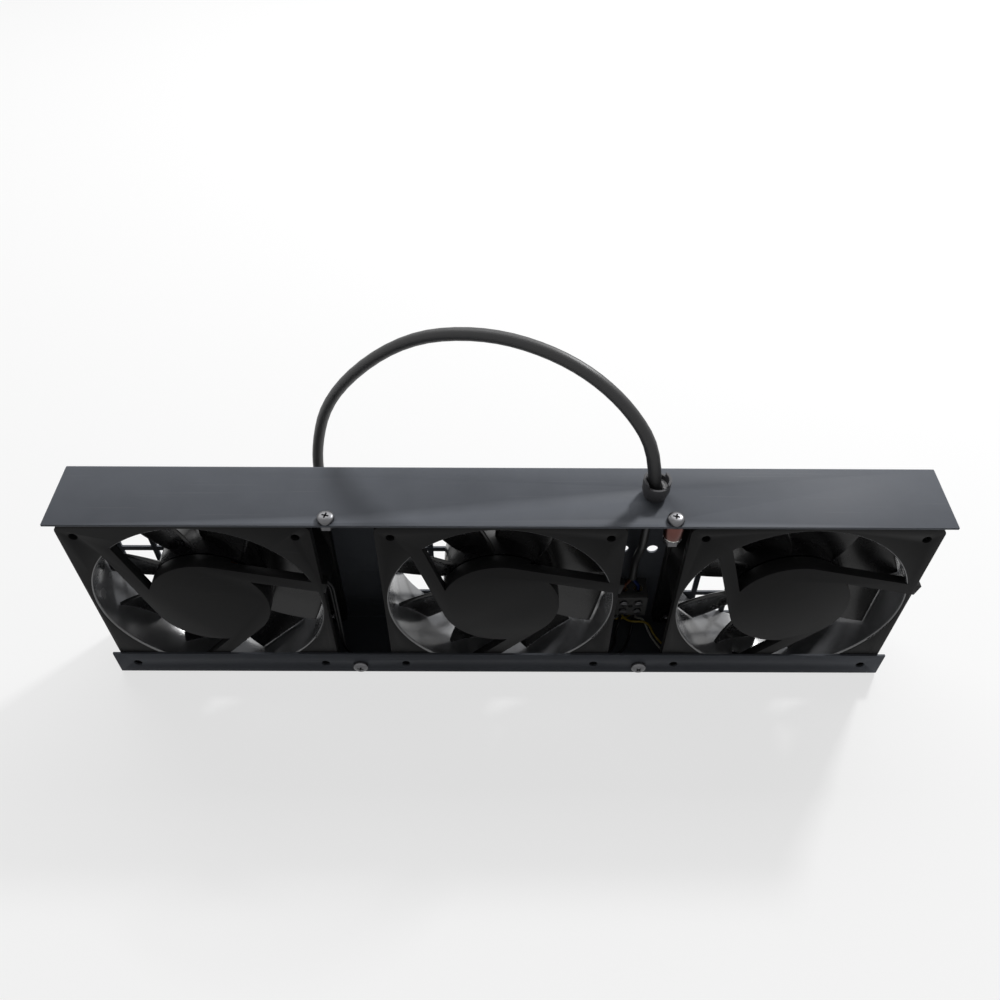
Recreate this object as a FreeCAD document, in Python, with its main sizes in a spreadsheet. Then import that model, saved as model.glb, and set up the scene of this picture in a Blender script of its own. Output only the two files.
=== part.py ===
"""Rack fan tray: three axial fans in a folded steel channel, with its mains cord.

Millimetres, +Z up. The tray stands on its bottom flange and the strut side of the fans faces -Y.
The origin is the centre of the bottom flange's outer face.
"""
import FreeCAD, Part
import math
import os

import Sketcher

doc = FreeCAD.newDocument("rack_fan_tray")

DRIVING_SIZES = {
    "channel": {
        "tray_width": 428.0,
        "sheet_thick": 1.2,
        "bend_radius": 1.0,
        "lip_height": 18.5,
        "fan_clearance": 1.0,
        "grid_pitch": 19.0,
        "grid_opening": 16.0,
        "hole_clearance": 0.4,
        "fixing_offset": 82.0,
        "fixing_inset": 4.2,
        "lip_fixing_offset": 78.0,
        "lip_fixing_height": 7.9,
        "lip_hole_height": 9.7,
        "tie_hole_radius": 3.0,
        "tie_hole_spacing": 16.0,
        "tie_hole_height": 63.2,
    },
    "fans": {
        "fan_size": 120.0,
        "fan_depth": 38.0,
        "fan_pitch": 150.0,
        "fan_hole_spacing": 105.0,
        "flange_thick": 5.0,
        "fan_hole_clearance": 0.2,
        "flange_corner": 4.0,
        "duct_radius": 57.5,
        "duct_wall": 1.5,
        "duct_flare": 1.4,
        "strut_width": 7.0,
        "strut_depth": 5.0,
        "strut_angle": 13.0,
        "lead_guide_overhang": 4.0,
        "motor_base_radius": 30.5,
        "motor_base_depth": 8.0,
        "motor_base_wall": 2.0,
        "motor_base_thick": 3.0,
        "lead_hole_radius": 2.2,
    },
    "rotor": {
        "hub_radius": 30.0,
        "hub_length": 27.3,
        "rotor_recess": 1.2,
        "hub_wall": 1.8,
        "hub_edge": 1.5,
        "blade_count": 8.0,
        "tip_clearance": 0.8,
        "blade_thick": 1.8,
        "blade_camber": 2.5,
        "blade_sweep": 10.4,
        "blade_wrap": 45.8,
        "blade_tip_wrap": 28.8,
        "blade_front": 4.2,
        "blade_rear": -8.6,
        "blade_phase": 40.2,
        "cup_wall": 2.5,
        "cup_plate": 1.5,
        "cup_boss_radius": 5.0,
        "cup_boss_length": 4.0,
        "cup_overhang": 3.0,
        "shaft_radius": 2.5,
        "shaft_bevel": 0.5,
        "shaft_length": 30.8,
        "shaft_clearance": 0.03,
    },
    "stator": {
        "bearing_radius": 6.5,
        "bearing_width": 4.0,
        "bearing_shoulder": 1.0,
        "bearing_tube_wall": 2.0,
        "air_gap": 0.5,
        "core_length": 10.0,
        "core_height": -4.0,
        "slot_radius": 2.2,
        "slot_circle": 18.0,
        "winding_inner": 10.0,
        "winding_outer": 22.5,
        "winding_length": 5.5,
        "winding_edge": 1.5,
    },
    "fasteners": {
        "thread_radius": 2.0,
        "head_radius": 4.1,
        "head_height": 2.8,
        "head_round": 1.2,
        "recess_width": 1.0,
        "recess_length": 4.4,
        "recess_depth": 1.5,
        "nut_flats": 7.0,
        "nut_height": 3.2,
        "thread_overhang": 0.6,
        "spacer_radius": 4.6,
        "spacer_length": 9.0,
        "star_radius": 4.6,
        "star_thick": 0.8,
        "ring_radius": 4.3,
        "ring_thick": 0.8,
        "ring_neck": 8.5,
        "crimp_length": 9.0,
        "crimp_radius": 1.9,
    },
    "terminals": {
        "block_centre": 73.5,
        "block_foot": 22.0,
        "block_width": 18.0,
        "block_height": 16.0,
        "block_depth": 14.0,
        "pole_pitch": 8.2,
        "clamp_radius": 2.6,
        "clamp_wall": 0.6,
        "clamp_margin": 1.5,
        "clamp_screw_radius": 1.4,
        "clamp_screw_pitch": 7.0,
        "block_pin_radius": 1.3,
    },
    "cord": {
        "cord_radius": 3.2,
        "gland_offset": 74.0,
        "gland_depth": 1.0,
        "gland_neck": 4.4,
        "gland_foot": 5.4,
        "gland_rim": 6.7,
        "gland_bowl_height": 4.2,
        "gland_floor_height": 2.6,
        "gland_cup_height": 5.8,
        "gland_cup_wall": 1.3,
        "gland_ear_height": 2.0,
        "gland_ear_slot": 9.0,
        "gland_length": 8.0,
        "gland_nut_radius": 6.5,
        "wedge_height": 3.4,
        "wedge_angle": 100.0,
        "wedge_turn": -30.0,
        "gland_nut_height": 4.0,
        "sleeve_radius": 2.1,
        "core_radius": 1.0,
        "lead_radius": 0.7,
        "coil_centre_x": -158.0,
        "coil_centre_y": 63.5,
        "coil_radius": 31.0,
        "coil_columns": 2.0,
        "coil_layers": 3.0,
        "tie_width": 9.0,
        "tie_thick": 0.8,
        "tail_angle": -70.0,
        "tail_length": 24.0,
        "boot_length": 18.0,
        "boot_radius": 6.0,
        "plug_length": 26.0,
        "plug_width": 24.0,
        "plug_edge": 2.5,
        "pin_length": 16.0,
        "pin_width": 6.3,
        "pin_thick": 1.5,
        "pin_spacing": 12.7,
        "pin_drop": 4.0,
        "earth_pin_radius": 2.4,
        "earth_pin_rise": 5.0,
    },
}


class Size:
    """A length, count or angle: its number, and the sheet expression that gives it."""

    def __init__(self, value, text):
        self.value = float(value)
        self.text = text

    @staticmethod
    def of(other):
        """Return other as a Size; a bare number becomes a constant."""
        return other if isinstance(other, Size) else Size(other, repr(float(other)))

    def combine(self, other, sign, value):
        """Return the Size of this one and other joined by sign."""
        return Size(value, f"({self.text} {sign} {Size.of(other).text})")

    def __add__(self, other):
        return self.combine(other, "+", self.value + Size.of(other).value)

    def __sub__(self, other):
        return self.combine(other, "-", self.value - Size.of(other).value)

    def __mul__(self, other):
        return self.combine(other, "*", self.value * Size.of(other).value)

    def __truediv__(self, other):
        return self.combine(other, "/", self.value / Size.of(other).value)

    def __neg__(self):
        return self * -1.0

    def __radd__(self, other):
        return Size.of(other) + self

    def __rsub__(self, other):
        return Size.of(other) - self

    def __rmul__(self, other):
        return Size.of(other) * self


def sine(angle):
    """Return the sine of an angle in degrees as a Size."""
    return Size(math.sin(math.radians(angle.value)), f"sin({angle.text} * 1 deg)")


def cosine(angle):
    """Return the cosine of an angle in degrees as a Size."""
    return Size(math.cos(math.radians(angle.value)), f"cos({angle.text} * 1 deg)")


def square_root(square):
    """Return the square root of a size as a Size."""
    return Size(math.sqrt(square.value), f"sqrt({square.text})")


class SizeSheet:
    """The document's spreadsheet of driving sizes, read by their aliases."""

    def __init__(self, groups):
        sheet = doc.addObject("Spreadsheet::Sheet", "Sizes")
        row = 1
        for group, sizes in groups.items():
            sheet.set(f"A{row}", group)
            row += 1
            for alias, number in sizes.items():
                sheet.set(f"A{row}", alias)
                sheet.set(f"B{row}", str(number))
                sheet.setAlias(f"B{row}", alias)
                setattr(self, alias, Size(number, f"Sizes.{alias}"))
                row += 1
        doc.recompute()


S = SizeSheet(DRIVING_SIZES)

# Sizes of the channel that follow from the fans it holds.
tray_depth = S.fan_depth + 2 * S.sheet_thick
tray_height = S.fan_size + 2 * S.fan_clearance + 2 * S.sheet_thick
axis_height = tray_height / 2
half_depth = tray_depth / 2
half_fan = S.fan_depth / 2
hole_half = S.fan_hole_spacing / 2
screw_hole = S.thread_radius + S.hole_clearance
fan_hole = S.thread_radius + S.fan_hole_clearance
duct_outer = S.duct_radius + S.duct_wall
block_middle = S.block_foot + S.block_height / 2
FAN_NAMES = ("left", "center", "right")
FAN_GRID_CELLS = 6
STRUTS = 3
STATOR_SLOTS = 8
STAR_TEETH = 12
TIE_ANGLES = (25.0, 205.0)
FAN_TURN = FreeCAD.Rotation(FreeCAD.Vector(1, 0, 0), -90)
TOWARDS_BACK = FreeCAD.Rotation(FreeCAD.Vector(1, 0, 0), -90)
TOWARDS_FRONT = FreeCAD.Rotation(FreeCAD.Vector(1, 0, 0), 90)
UPWARDS = FreeCAD.Rotation()
DOWNWARDS = FreeCAD.Rotation(FreeCAD.Vector(1, 0, 0), 180)
ALONG_X = FreeCAD.Rotation(FreeCAD.Vector(0, 1, 0), 90)
nodes = []


# ---------------------------------------------------------------- helpers
def bind(thing, **sizes):
    """Bind the named properties of a document object to sizes."""
    for name, size in sizes.items():
        thing.setExpression(name, Size.of(size).text)


def place(thing, x=0, y=0, z=0, turn=UPWARDS):
    """Turn a document object and bind its position to sizes."""
    thing.Placement = FreeCAD.Placement(FreeCAD.Vector(), turn)
    for axis, size in zip("xyz", (x, y, z)):
        thing.setExpression(f"Placement.Base.{axis}", Size.of(size).text)
    return thing


def node(thing, label):
    """Name a finished sub-part, so that it is exported under that name."""
    thing.Label = label
    nodes.append(thing)
    return thing


def cylinder(name, radius, height, x=0, y=0, z=0, turn=UPWARDS):
    """Add a cylinder that starts at a point and runs along its turned Z axis."""
    solid = doc.addObject("Part::Cylinder", name)
    bind(solid, Radius=radius, Height=height)
    return place(solid, x, y, z, turn)


def box(name, length, width, height, x=0, y=0, z=0, turn=UPWARDS):
    """Add a box centred on its point in X and Y, which rises from it along Z."""
    solid = doc.addObject("Part::Box", name)
    bind(solid, Length=length, Width=width, Height=height)
    return place(solid, x - Size.of(length) / 2, y - Size.of(width) / 2, z, turn)


def cut(name, base, tool):
    """Cut one solid out of another."""
    result = doc.addObject("Part::Cut", name)
    result.Base = base
    result.Tool = tool
    return result


def fuse(name, solids):
    """Join touching solids of one piece."""
    result = doc.addObject("Part::MultiFuse", name)
    result.Shapes = solids
    return result


def compound(name, members):
    """Group separate solids, so that they are one node."""
    group = doc.addObject("Part::Compound", name + "_group")
    group.Links = members
    return group


def copies(label, master, places):
    """Group linked copies of a master solid, one at each (x, y, z, turn)."""
    links = []
    for number, (x, y, z, turn) in enumerate(places):
        link = doc.addObject("App::Link", f"{label}_{number + 1}")
        link.LinkedObject = master
        link.LinkTransform = False
        links.append(place(link, x, y, z, turn))
    return node(compound(label, links), label)


def new_body(name):
    """Add an empty PartDesign body."""
    return doc.addObject("PartDesign::Body", name)


def new_sketch(body, role, offset=0):
    """Add a sketch on one of the body's origin planes, lifted along its normal."""
    sketch = body.newObject("Sketcher::SketchObject", body.Name + "_sketch")
    support = next(plane for plane in body.Origin.OriginFeatures if plane.Role == role)
    sketch.AttachmentSupport = (support, [""])
    sketch.MapMode = "FlatFace"
    sketch.setExpression("AttachmentOffset.Base.z", Size.of(offset).text)
    return sketch


def fix_point(sketch, edge, point, corner):
    """Bind one point of a sketch edge to a pair of sizes."""
    for kind, size in zip(("DistanceX", "DistanceY"), corner):
        size = Size.of(size)
        index = sketch.addConstraint(Sketcher.Constraint(kind, edge, point, size.value))
        sketch.setExpression(f"Constraints[{index}]", size.text)


def vector(corner):
    """Return the 3-D point of a pair of sizes."""
    return FreeCAD.Vector(Size.of(corner[0]).value, Size.of(corner[1]).value, 0)


def draw_polygon(sketch, corners):
    """Draw a closed outline through corners, each a pair of sizes."""
    first = sketch.GeometryCount
    count = len(corners)
    for number, corner in enumerate(corners):
        following = corners[(number + 1) % count]
        sketch.addGeometry(Part.LineSegment(vector(corner), vector(following)), False)
    for number, corner in enumerate(corners):
        fix_point(sketch, first + number, 1, corner)
        joint = (first + number, 2, first + (number + 1) % count, 1)
        sketch.addConstraint(Sketcher.Constraint("Coincident", *joint))


def draw_rectangle(sketch, x, y, width, height):
    """Draw a rectangle centred on a point."""
    left, right = x - width / 2, x + width / 2
    low, high = y - height / 2, y + height / 2
    draw_polygon(sketch, [(left, low), (right, low), (right, high), (left, high)])


def draw_along(sketch, turn, near, far, low, high):
    """Draw a bar from near to far along a direction, between two offsets across it."""
    cos, sin = cosine(turn), sine(turn)
    draw_polygon(sketch, [(along * cos - across * sin, along * sin + across * cos)
                          for along, across in ((near, low), (far, low), (far, high), (near, high))])


def draw_circle(sketch, x, y, radius):
    """Draw a circle whose centre and radius are sizes."""
    radius = Size.of(radius)
    circle = Part.Circle(vector((x, y)), FreeCAD.Vector(0, 0, 1), radius.value)
    edge = sketch.addGeometry(circle, False)
    fix_point(sketch, edge, 3, (x, y))
    index = sketch.addConstraint(Sketcher.Constraint("Radius", edge, radius.value))
    sketch.setExpression(f"Constraints[{index}]", radius.text)


def draw_arc(sketch, start, end, bulge, radius):
    """Draw an arc between two corners that bows by bulge and has the given radius."""
    first, last = vector(start), vector(end)
    chord = last - first
    across = FreeCAD.Vector(-chord.y, chord.x, 0).normalize()
    middle = (first + last) * 0.5 + across * bulge.value
    edge = sketch.addGeometry(Part.Arc(first, middle, last), False)
    begins = sketch.getPoint(edge, 1).distanceToPoint(first) < 0.001
    fix_point(sketch, edge, 1, start if begins else end)
    fix_point(sketch, edge, 2, end if begins else start)
    index = sketch.addConstraint(Sketcher.Constraint("Radius", edge, radius.value))
    sketch.setExpression(f"Constraints[{index}]", radius.text)


def draw_line(sketch, start, end):
    """Draw a line between two corners."""
    edge = sketch.addGeometry(Part.LineSegment(vector(start), vector(end)), False)
    fix_point(sketch, edge, 1, start)
    fix_point(sketch, edge, 2, end)


def pad(body, sketch, length, backwards=False):
    """Pad a sketch along its normal, or against it."""
    feature = body.newObject("PartDesign::Pad", body.Name + "_pad")
    feature.Profile = sketch
    bind(feature, Length=length)
    feature.Reversed = backwards
    return feature


def pocket(body, sketch, length, along_normal=False):
    """Cut a sketch out of the body, against the sketch's normal unless told otherwise."""
    before = volume_of(body)
    feature = body.newObject("PartDesign::Pocket", body.Name + "_pocket")
    feature.Profile = sketch
    bind(feature, Length=length)
    feature.Reversed = along_normal
    doc.recompute()
    if feature.Shape.Volume > before - 0.01:
        raise ValueError(f"{feature.Name} cuts nothing")
    return feature


def revolve(body, sketch):
    """Turn a sketch a full circle about its own vertical axis."""
    feature = body.newObject("PartDesign::Revolution", body.Name + "_turned")
    feature.Profile = sketch
    feature.ReferenceAxis = (sketch, ["V_Axis"])
    feature.Angle = 360.0
    return feature


def polar(body, feature, sketch, count):
    """Repeat a feature around the normal of a sketch at the origin."""
    pattern = body.newObject("PartDesign::PolarPattern", body.Name + "_ring")
    pattern.Originals = [feature]
    pattern.Axis = (sketch, ["N_Axis"])
    pattern.Angle = 360.0
    bind(pattern, Occurrences=count)
    body.Tip = pattern
    return pattern


def multi_row(body, feature, sketch, rows):
    """Repeat a feature in nested straight rows, each (axis, pitch, count)."""
    pattern = body.newObject("PartDesign::MultiTransform", body.Name + "_rows")
    pattern.Originals = [feature]
    steps = []
    for axis, pitch, count in rows:
        step = body.newObject("PartDesign::LinearPattern", body.Name + "_step")
        step.Direction = (sketch, [axis])
        bind(step, Length=pitch * (count - 1), Occurrences=count)
        steps.append(step)
    pattern.Transformations = steps
    body.Tip = pattern
    doc.recompute()
    return pattern


def round_edges(body, radius, wanted):
    """Fillet the edges of the body's tip that wanted(edge) accepts."""
    doc.recompute()
    tip = body.Tip
    names = [f"Edge{n + 1}" for n, edge in enumerate(tip.Shape.Edges) if wanted(edge)]
    feature = body.newObject("PartDesign::Fillet", body.Name + "_round")
    feature.Base = (tip, names)
    bind(feature, Radius=radius)
    return feature


def volume_of(body):
    """Return the volume of a body as it stands."""
    doc.recompute()
    return body.Shape.Volume


def turned_body(name, outline):
    """Make a body by turning an outline of (radius, height) pairs about Z."""
    body = new_body(name)
    sketch = new_sketch(body, "XZ_Plane")
    draw_polygon(sketch, outline)
    revolve(body, sketch)
    return body


def bevelled_ring(near, far, low, high, edge):
    """Return the (radius, height) outline of a ring whose four edges are bevelled."""
    return [
        (near + edge, low), (far - edge, low), (far, low + edge), (far, high - edge),
        (far - edge, high), (near + edge, high), (near, high - edge), (near, low + edge),
    ]


# ---------------------------------------------------------------- channel
def cut_grid(body, columns, rows):
    """Cut (count, pitch) columns and rows of square openings behind each fan through the web."""
    count, pitch = columns
    sketch = new_sketch(body, "XZ_Plane", 2 * S.sheet_thick - half_depth)
    first_x = -S.fan_pitch - pitch * ((count - 1) / 2)
    first_z = axis_height - S.grid_pitch * ((rows - 1) / 2)
    draw_rectangle(sketch, first_x, first_z, S.grid_opening, S.grid_opening)
    feature = pocket(body, sketch, 3 * S.sheet_thick)
    fan_row = ("H_Axis", S.fan_pitch, len(FAN_NAMES))
    multi_row(body, feature, sketch,
              [("H_Axis", pitch, count), ("V_Axis", S.grid_pitch, rows), fan_row])


def bend_edge(edge, places):
    """Tell whether an edge runs the tray's width through one of the (y, z) places."""
    if abs(edge.Length - S.tray_width.value) > 0.01:
        return False
    middle = edge.CenterOfMass
    return any(abs(middle.y - y.value) + abs(middle.z - z.value) < 0.01 for y, z in places)


def build_channel():
    """Fold the sheet channel: bottom flange with its lip, web with the grids, top panel."""
    body = new_body("channel_body")
    section = new_sketch(body, "YZ_Plane", -S.tray_width / 2)
    front, back, thick = -half_depth, half_depth, S.sheet_thick
    zero = Size.of(0)
    draw_polygon(section, [
        (front, S.lip_height), (front, zero), (back, zero), (back, tray_height),
        (front, tray_height), (front, tray_height - thick), (back - thick, tray_height - thick),
        (back - thick, thick), (front + thick, thick), (front + thick, S.lip_height),
    ])
    pad(body, section, S.tray_width)
    outer = [(front, zero), (back, zero), (back, tray_height)]
    inner = [(front + thick, thick), (back - thick, thick), (back - thick, tray_height - thick)]
    round_edges(body, S.bend_radius + thick, lambda edge: bend_edge(edge, outer))
    round_edges(body, S.bend_radius, lambda edge: bend_edge(edge, inner))

    # The four corner openings are left out, because the fan screws stand there.
    cut_grid(body, (FAN_GRID_CELLS - 2, S.grid_pitch), FAN_GRID_CELLS)
    cut_grid(body, (2, S.grid_pitch * (FAN_GRID_CELLS - 1)), FAN_GRID_CELLS - 2)

    web = new_sketch(body, "XZ_Plane", 2 * thick - half_depth)
    for x, z in fan_screw_places():
        draw_circle(web, x, z, screw_hole)
    for sign in (-1, 1):
        draw_circle(web, S.fan_pitch / 2 + sign * S.tie_hole_spacing / 2, S.tie_hole_height,
                    S.tie_hole_radius)
    draw_circle(web, S.block_centre, block_middle, S.block_pin_radius + S.hole_clearance)
    pocket(body, web, 3 * thick)

    lip = new_sketch(body, "XZ_Plane", half_depth - 2 * thick)
    for centre in fan_centres():
        for sign in (-1, 1):
            draw_circle(lip, centre + sign * hole_half, S.lip_hole_height, screw_hole)
    for sign in (-1, 1):
        draw_circle(lip, sign * S.lip_fixing_offset, S.lip_fixing_height, screw_hole)
    pocket(body, lip, 3 * thick, along_normal=True)

    panel = new_sketch(body, "XY_Plane", tray_height - 2 * thick)
    for sign in (-1, 1):
        draw_circle(panel, sign * S.fixing_offset, S.fixing_inset - half_depth, screw_hole)
    draw_circle(panel, S.gland_offset, S.gland_depth, S.gland_neck + S.hole_clearance)
    pocket(body, panel, 3 * thick, along_normal=True)
    node(body, "chassis_channel")


def fan_centres():
    """Return the X position of each fan, from left to right."""
    return [S.fan_pitch * step for step in (-1, 0, 1)]


def fan_screw_places():
    """Return the (x, z) of every fan screw, four to a fan."""
    return [(centre + side * hole_half, axis_height + rise * hole_half)
            for centre in fan_centres() for side in (-1, 1) for rise in (-1, 1)]


# ---------------------------------------------------------------- fans, in their own frame
# In a fan's own frame Z points out of its open rotor side, away from the struts, and the origin is
# its middle. The struts leave the motor base at a tangent, flush with its edge.
strut_inset = S.motor_base_radius - S.strut_width / 2
strut_inner = S.motor_base_radius - S.strut_width
duct_middle = S.duct_radius + S.duct_wall / 2
strut_reach = square_root(duct_middle * duct_middle - strut_inner * strut_inner)
motor_base_top = S.motor_base_depth - half_fan
tube_foot = S.motor_base_thick - half_fan
hub_face = half_fan - S.rotor_recess
motor_front = hub_face - S.hub_wall
cup_outer = S.hub_radius - S.hub_wall
bearing_tube_top = motor_front - S.cup_plate - S.cup_boss_length - S.bearing_shoulder
bearing_tube_outer = S.bearing_radius + S.bearing_tube_wall
tip_radius = S.duct_radius - S.tip_clearance


def seat_fan(thing, centre, label):
    """Turn a fan piece from the fan's own frame to its place in the tray."""
    place(thing, centre, 0, axis_height, FAN_TURN)
    return node(thing, label)


def corner_edge(edge):
    """Tell whether an edge is one of the flanges' four upright corners."""
    half = S.fan_size.value / 2
    middle = edge.CenterOfMass
    upright = abs(edge.Length - S.flange_thick.value) < 0.01
    return upright and abs(abs(middle.x) - half) + abs(abs(middle.y) - half) < 0.01


def mouth_edge(edge):
    """Tell whether an edge is one of the duct's two rims."""
    curve = edge.Curve
    if not isinstance(curve, Part.Circle):
        return False
    at_rim = abs(abs(curve.Center.z) - half_fan.value) < 0.01
    return at_rim and abs(curve.Radius - S.duct_radius.value) < 0.01


def build_fan_frame(name, centre, lead_strut):
    """Cast housing: duct, two square flanges, struts, motor base and bearing tube."""
    body = new_body("fan_frame_body_" + name)
    tube = new_sketch(body, "XY_Plane", -half_fan)
    draw_circle(tube, 0, 0, duct_outer)
    pad(body, tube, S.fan_depth)
    for foot in (-half_fan, half_fan - S.flange_thick):
        flange = new_sketch(body, "XY_Plane", foot)
        draw_rectangle(flange, Size.of(0), Size.of(0), S.fan_size, S.fan_size)
        pad(body, flange, S.flange_thick)
    round_edges(body, S.flange_corner, corner_edge)
    bore = new_sketch(body, "XY_Plane", half_fan)
    draw_circle(bore, 0, 0, S.duct_radius)
    pocket(body, bore, S.fan_depth)
    round_edges(body, S.duct_flare, mouth_edge)
    holes = new_sketch(body, "XY_Plane", half_fan)
    for x in (-hole_half, hole_half):
        for y in (-hole_half, hole_half):
            draw_circle(holes, x, y, fan_hole)
    pocket(body, holes, S.fan_depth)

    strut = new_sketch(body, "XY_Plane", -half_fan)
    draw_along(strut, S.strut_angle, Size.of(0), strut_reach, -S.motor_base_radius, -strut_inner)
    arm = pad(body, strut, S.strut_depth)
    polar(body, arm, strut, STRUTS)
    guide = new_sketch(body, "XY_Plane", -half_fan)
    draw_along(guide, S.strut_angle, strut_reach - S.duct_wall, strut_reach + S.lead_guide_overhang,
               -S.motor_base_radius, -strut_inner)
    pad(body, guide, S.strut_depth)
    base = new_sketch(body, "XY_Plane", -half_fan)
    draw_circle(base, 0, 0, S.motor_base_radius)
    pad(body, base, S.motor_base_depth)
    cavity = new_sketch(body, "XY_Plane", motor_base_top)
    draw_circle(cavity, 0, 0, S.motor_base_radius - S.motor_base_wall)
    pocket(body, cavity, S.motor_base_depth - S.motor_base_thick)
    post = new_sketch(body, "XY_Plane", tube_foot)
    draw_circle(post, 0, 0, bearing_tube_outer)
    pad(body, post, bearing_tube_top - tube_foot)
    seat = new_sketch(body, "XY_Plane", bearing_tube_top)
    draw_circle(seat, 0, 0, S.bearing_radius)
    pocket(body, seat, bearing_tube_top - tube_foot - S.bearing_shoulder)

    hole = 2 * S.lead_hole_radius
    window = new_sketch(body, "XY_Plane", S.strut_depth - half_fan + hole)
    draw_along(window, S.strut_angle - 360 / STRUTS * lead_strut, Size.of(0),
               strut_reach + 2 * S.duct_wall, -strut_inset - S.lead_hole_radius,
               -strut_inset + S.lead_hole_radius)
    pocket(body, window, hole)
    seat_fan(body, centre, "fan_frame_" + name)


def blade_section(body, radius):
    """Sketch the blade's curved section on the plane at a radius from the axis."""
    share = (radius - S.hub_radius) / (tip_radius - S.hub_radius)
    wrap = S.blade_wrap + (S.blade_tip_wrap - S.blade_wrap) * share
    turn = S.blade_phase - S.blade_sweep * share - wrap / 2
    half = radius * (wrap * (math.pi / 360))
    front = S.blade_front
    rear = S.blade_rear
    sketch = new_sketch(body, "YZ_Plane")
    sketch.AttachmentOffset = FreeCAD.Placement(
        FreeCAD.Vector(), FreeCAD.Rotation(FreeCAD.Vector(0, 1, 0), turn.value))
    sketch.setExpression("AttachmentOffset.Base.x", (radius * sine(turn)).text)
    sketch.setExpression("AttachmentOffset.Base.z", (radius * cosine(turn)).text)
    sketch.setExpression("AttachmentOffset.Rotation.Angle", turn.text)
    bow = S.blade_camber
    chord_square = half * half * 4 + (front - rear) * (front - rear)
    curve = (chord_square / 4 + bow * bow) / (2 * bow)
    thick = S.blade_thick
    draw_arc(sketch, (-half, front), (half, rear + thick), bow, curve)
    draw_line(sketch, (half, rear + thick), (half, rear))
    draw_arc(sketch, (-half, front - thick), (half, rear), bow, curve)
    draw_line(sketch, (-half, front - thick), (-half, front))
    return sketch


def build_impeller(name, centre):
    """Hub cup with its ring of swept, twisted blades."""
    body = new_body("impeller_body_" + name)
    hub = new_sketch(body, "XY_Plane", hub_face - S.hub_length)
    draw_circle(hub, 0, 0, S.hub_radius)
    pad(body, hub, S.hub_length)
    root = S.hub_radius - 2 * S.hub_wall
    tip = tip_radius + 2 * S.hub_wall
    sections = [blade_section(body, radius) for radius in (root, (root + tip) / 2, tip)]
    blade = body.newObject("PartDesign::AdditiveLoft", body.Name + "_blade")
    blade.Profile = sections[0]
    blade.Sections = sections[1:]
    polar(body, blade, hub, S.blade_count)
    trim = new_sketch(body, "XY_Plane", S.fan_depth)
    draw_circle(trim, 0, 0, tip_radius)
    draw_circle(trim, 0, 0, S.fan_size)
    pocket(body, trim, 2 * S.fan_depth)
    hollow = new_sketch(body, "XY_Plane", motor_front)
    draw_circle(hollow, 0, 0, cup_outer)
    pocket(body, hollow, S.fan_depth)
    round_edges(body, S.hub_edge, hub_edge)
    seat_fan(body, centre, "impeller_" + name)


def hub_edge(edge):
    """Tell whether an edge is the hub face's rim."""
    curve = edge.Curve
    if not isinstance(curve, Part.Circle):
        return False
    at_face = abs(curve.Center.z - hub_face.value) < 0.01
    return at_face and abs(curve.Radius - S.hub_radius.value) < 0.01


def build_motor(name, centre):
    """Outer-rotor motor: steel cup and shaft, two bearings, slotted core and its windings."""
    top, shaft = motor_front, S.shaft_radius
    plate = top - S.cup_plate
    inner = cup_outer - S.cup_wall
    rear = S.core_height - S.cup_overhang
    cup = turned_body("rotor_cup_body_" + name, [
        (shaft, top), (cup_outer, top), (cup_outer, rear), (inner, rear), (inner, plate),
        (S.cup_boss_radius, plate), (S.cup_boss_radius, plate - S.cup_boss_length),
        (shaft, plate - S.cup_boss_length),
    ])
    seat_fan(cup, centre, "rotor_cup_" + name)

    rod = turned_body("rotor_shaft_body_" + name, [
        (0, top - S.shaft_length), (shaft - S.shaft_bevel, top - S.shaft_length),
        (shaft, top - S.shaft_length + S.shaft_bevel), (shaft, top), (0, top),
    ])
    seat_fan(rod, centre, "rotor_shaft_" + name)

    feet = (tube_foot + S.bearing_shoulder, bearing_tube_top - S.bearing_width)
    rings = []
    for foot in feet:
        bore, height = shaft + S.shaft_clearance, foot + S.bearing_width
        rings.append(turned_body("bearing_body_" + name, [
            (bore, foot), (S.bearing_radius, foot), (S.bearing_radius, height), (bore, height)]))
    seat_fan(compound("bearings_" + name, rings), centre, "bearings_" + name)

    core = new_body("stator_core_body_" + name)
    disc = new_sketch(core, "XY_Plane", S.core_height)
    draw_circle(disc, 0, 0, inner - S.air_gap)
    draw_circle(disc, 0, 0, bearing_tube_outer)
    pad(core, disc, S.core_length)
    slot = new_sketch(core, "XY_Plane", S.core_height)
    draw_circle(slot, S.slot_circle, 0, S.slot_radius)
    opening = pocket(core, slot, S.core_length, along_normal=True)
    polar(core, opening, slot, STATOR_SLOTS)
    seat_fan(core, centre, "stator_core_" + name)

    coils = []
    for foot in (S.core_height - S.winding_length, S.core_height + S.core_length):
        outline = bevelled_ring(S.winding_inner, S.winding_outer, foot, foot + S.winding_length,
                                S.winding_edge)
        coils.append(turned_body("winding_body_" + name, outline))
    seat_fan(compound("stator_winding_" + name, coils), centre, "stator_winding_" + name)


# ---------------------------------------------------------------- fasteners
fixing_y = S.fixing_inset - half_depth
panel_bottom = tray_height - S.sheet_thick
earth_ring_top = panel_bottom - S.spacer_length
earth_star_top = earth_ring_top - S.ring_thick
earth_nut_bottom = earth_star_top - S.star_thick - S.nut_height


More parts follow.
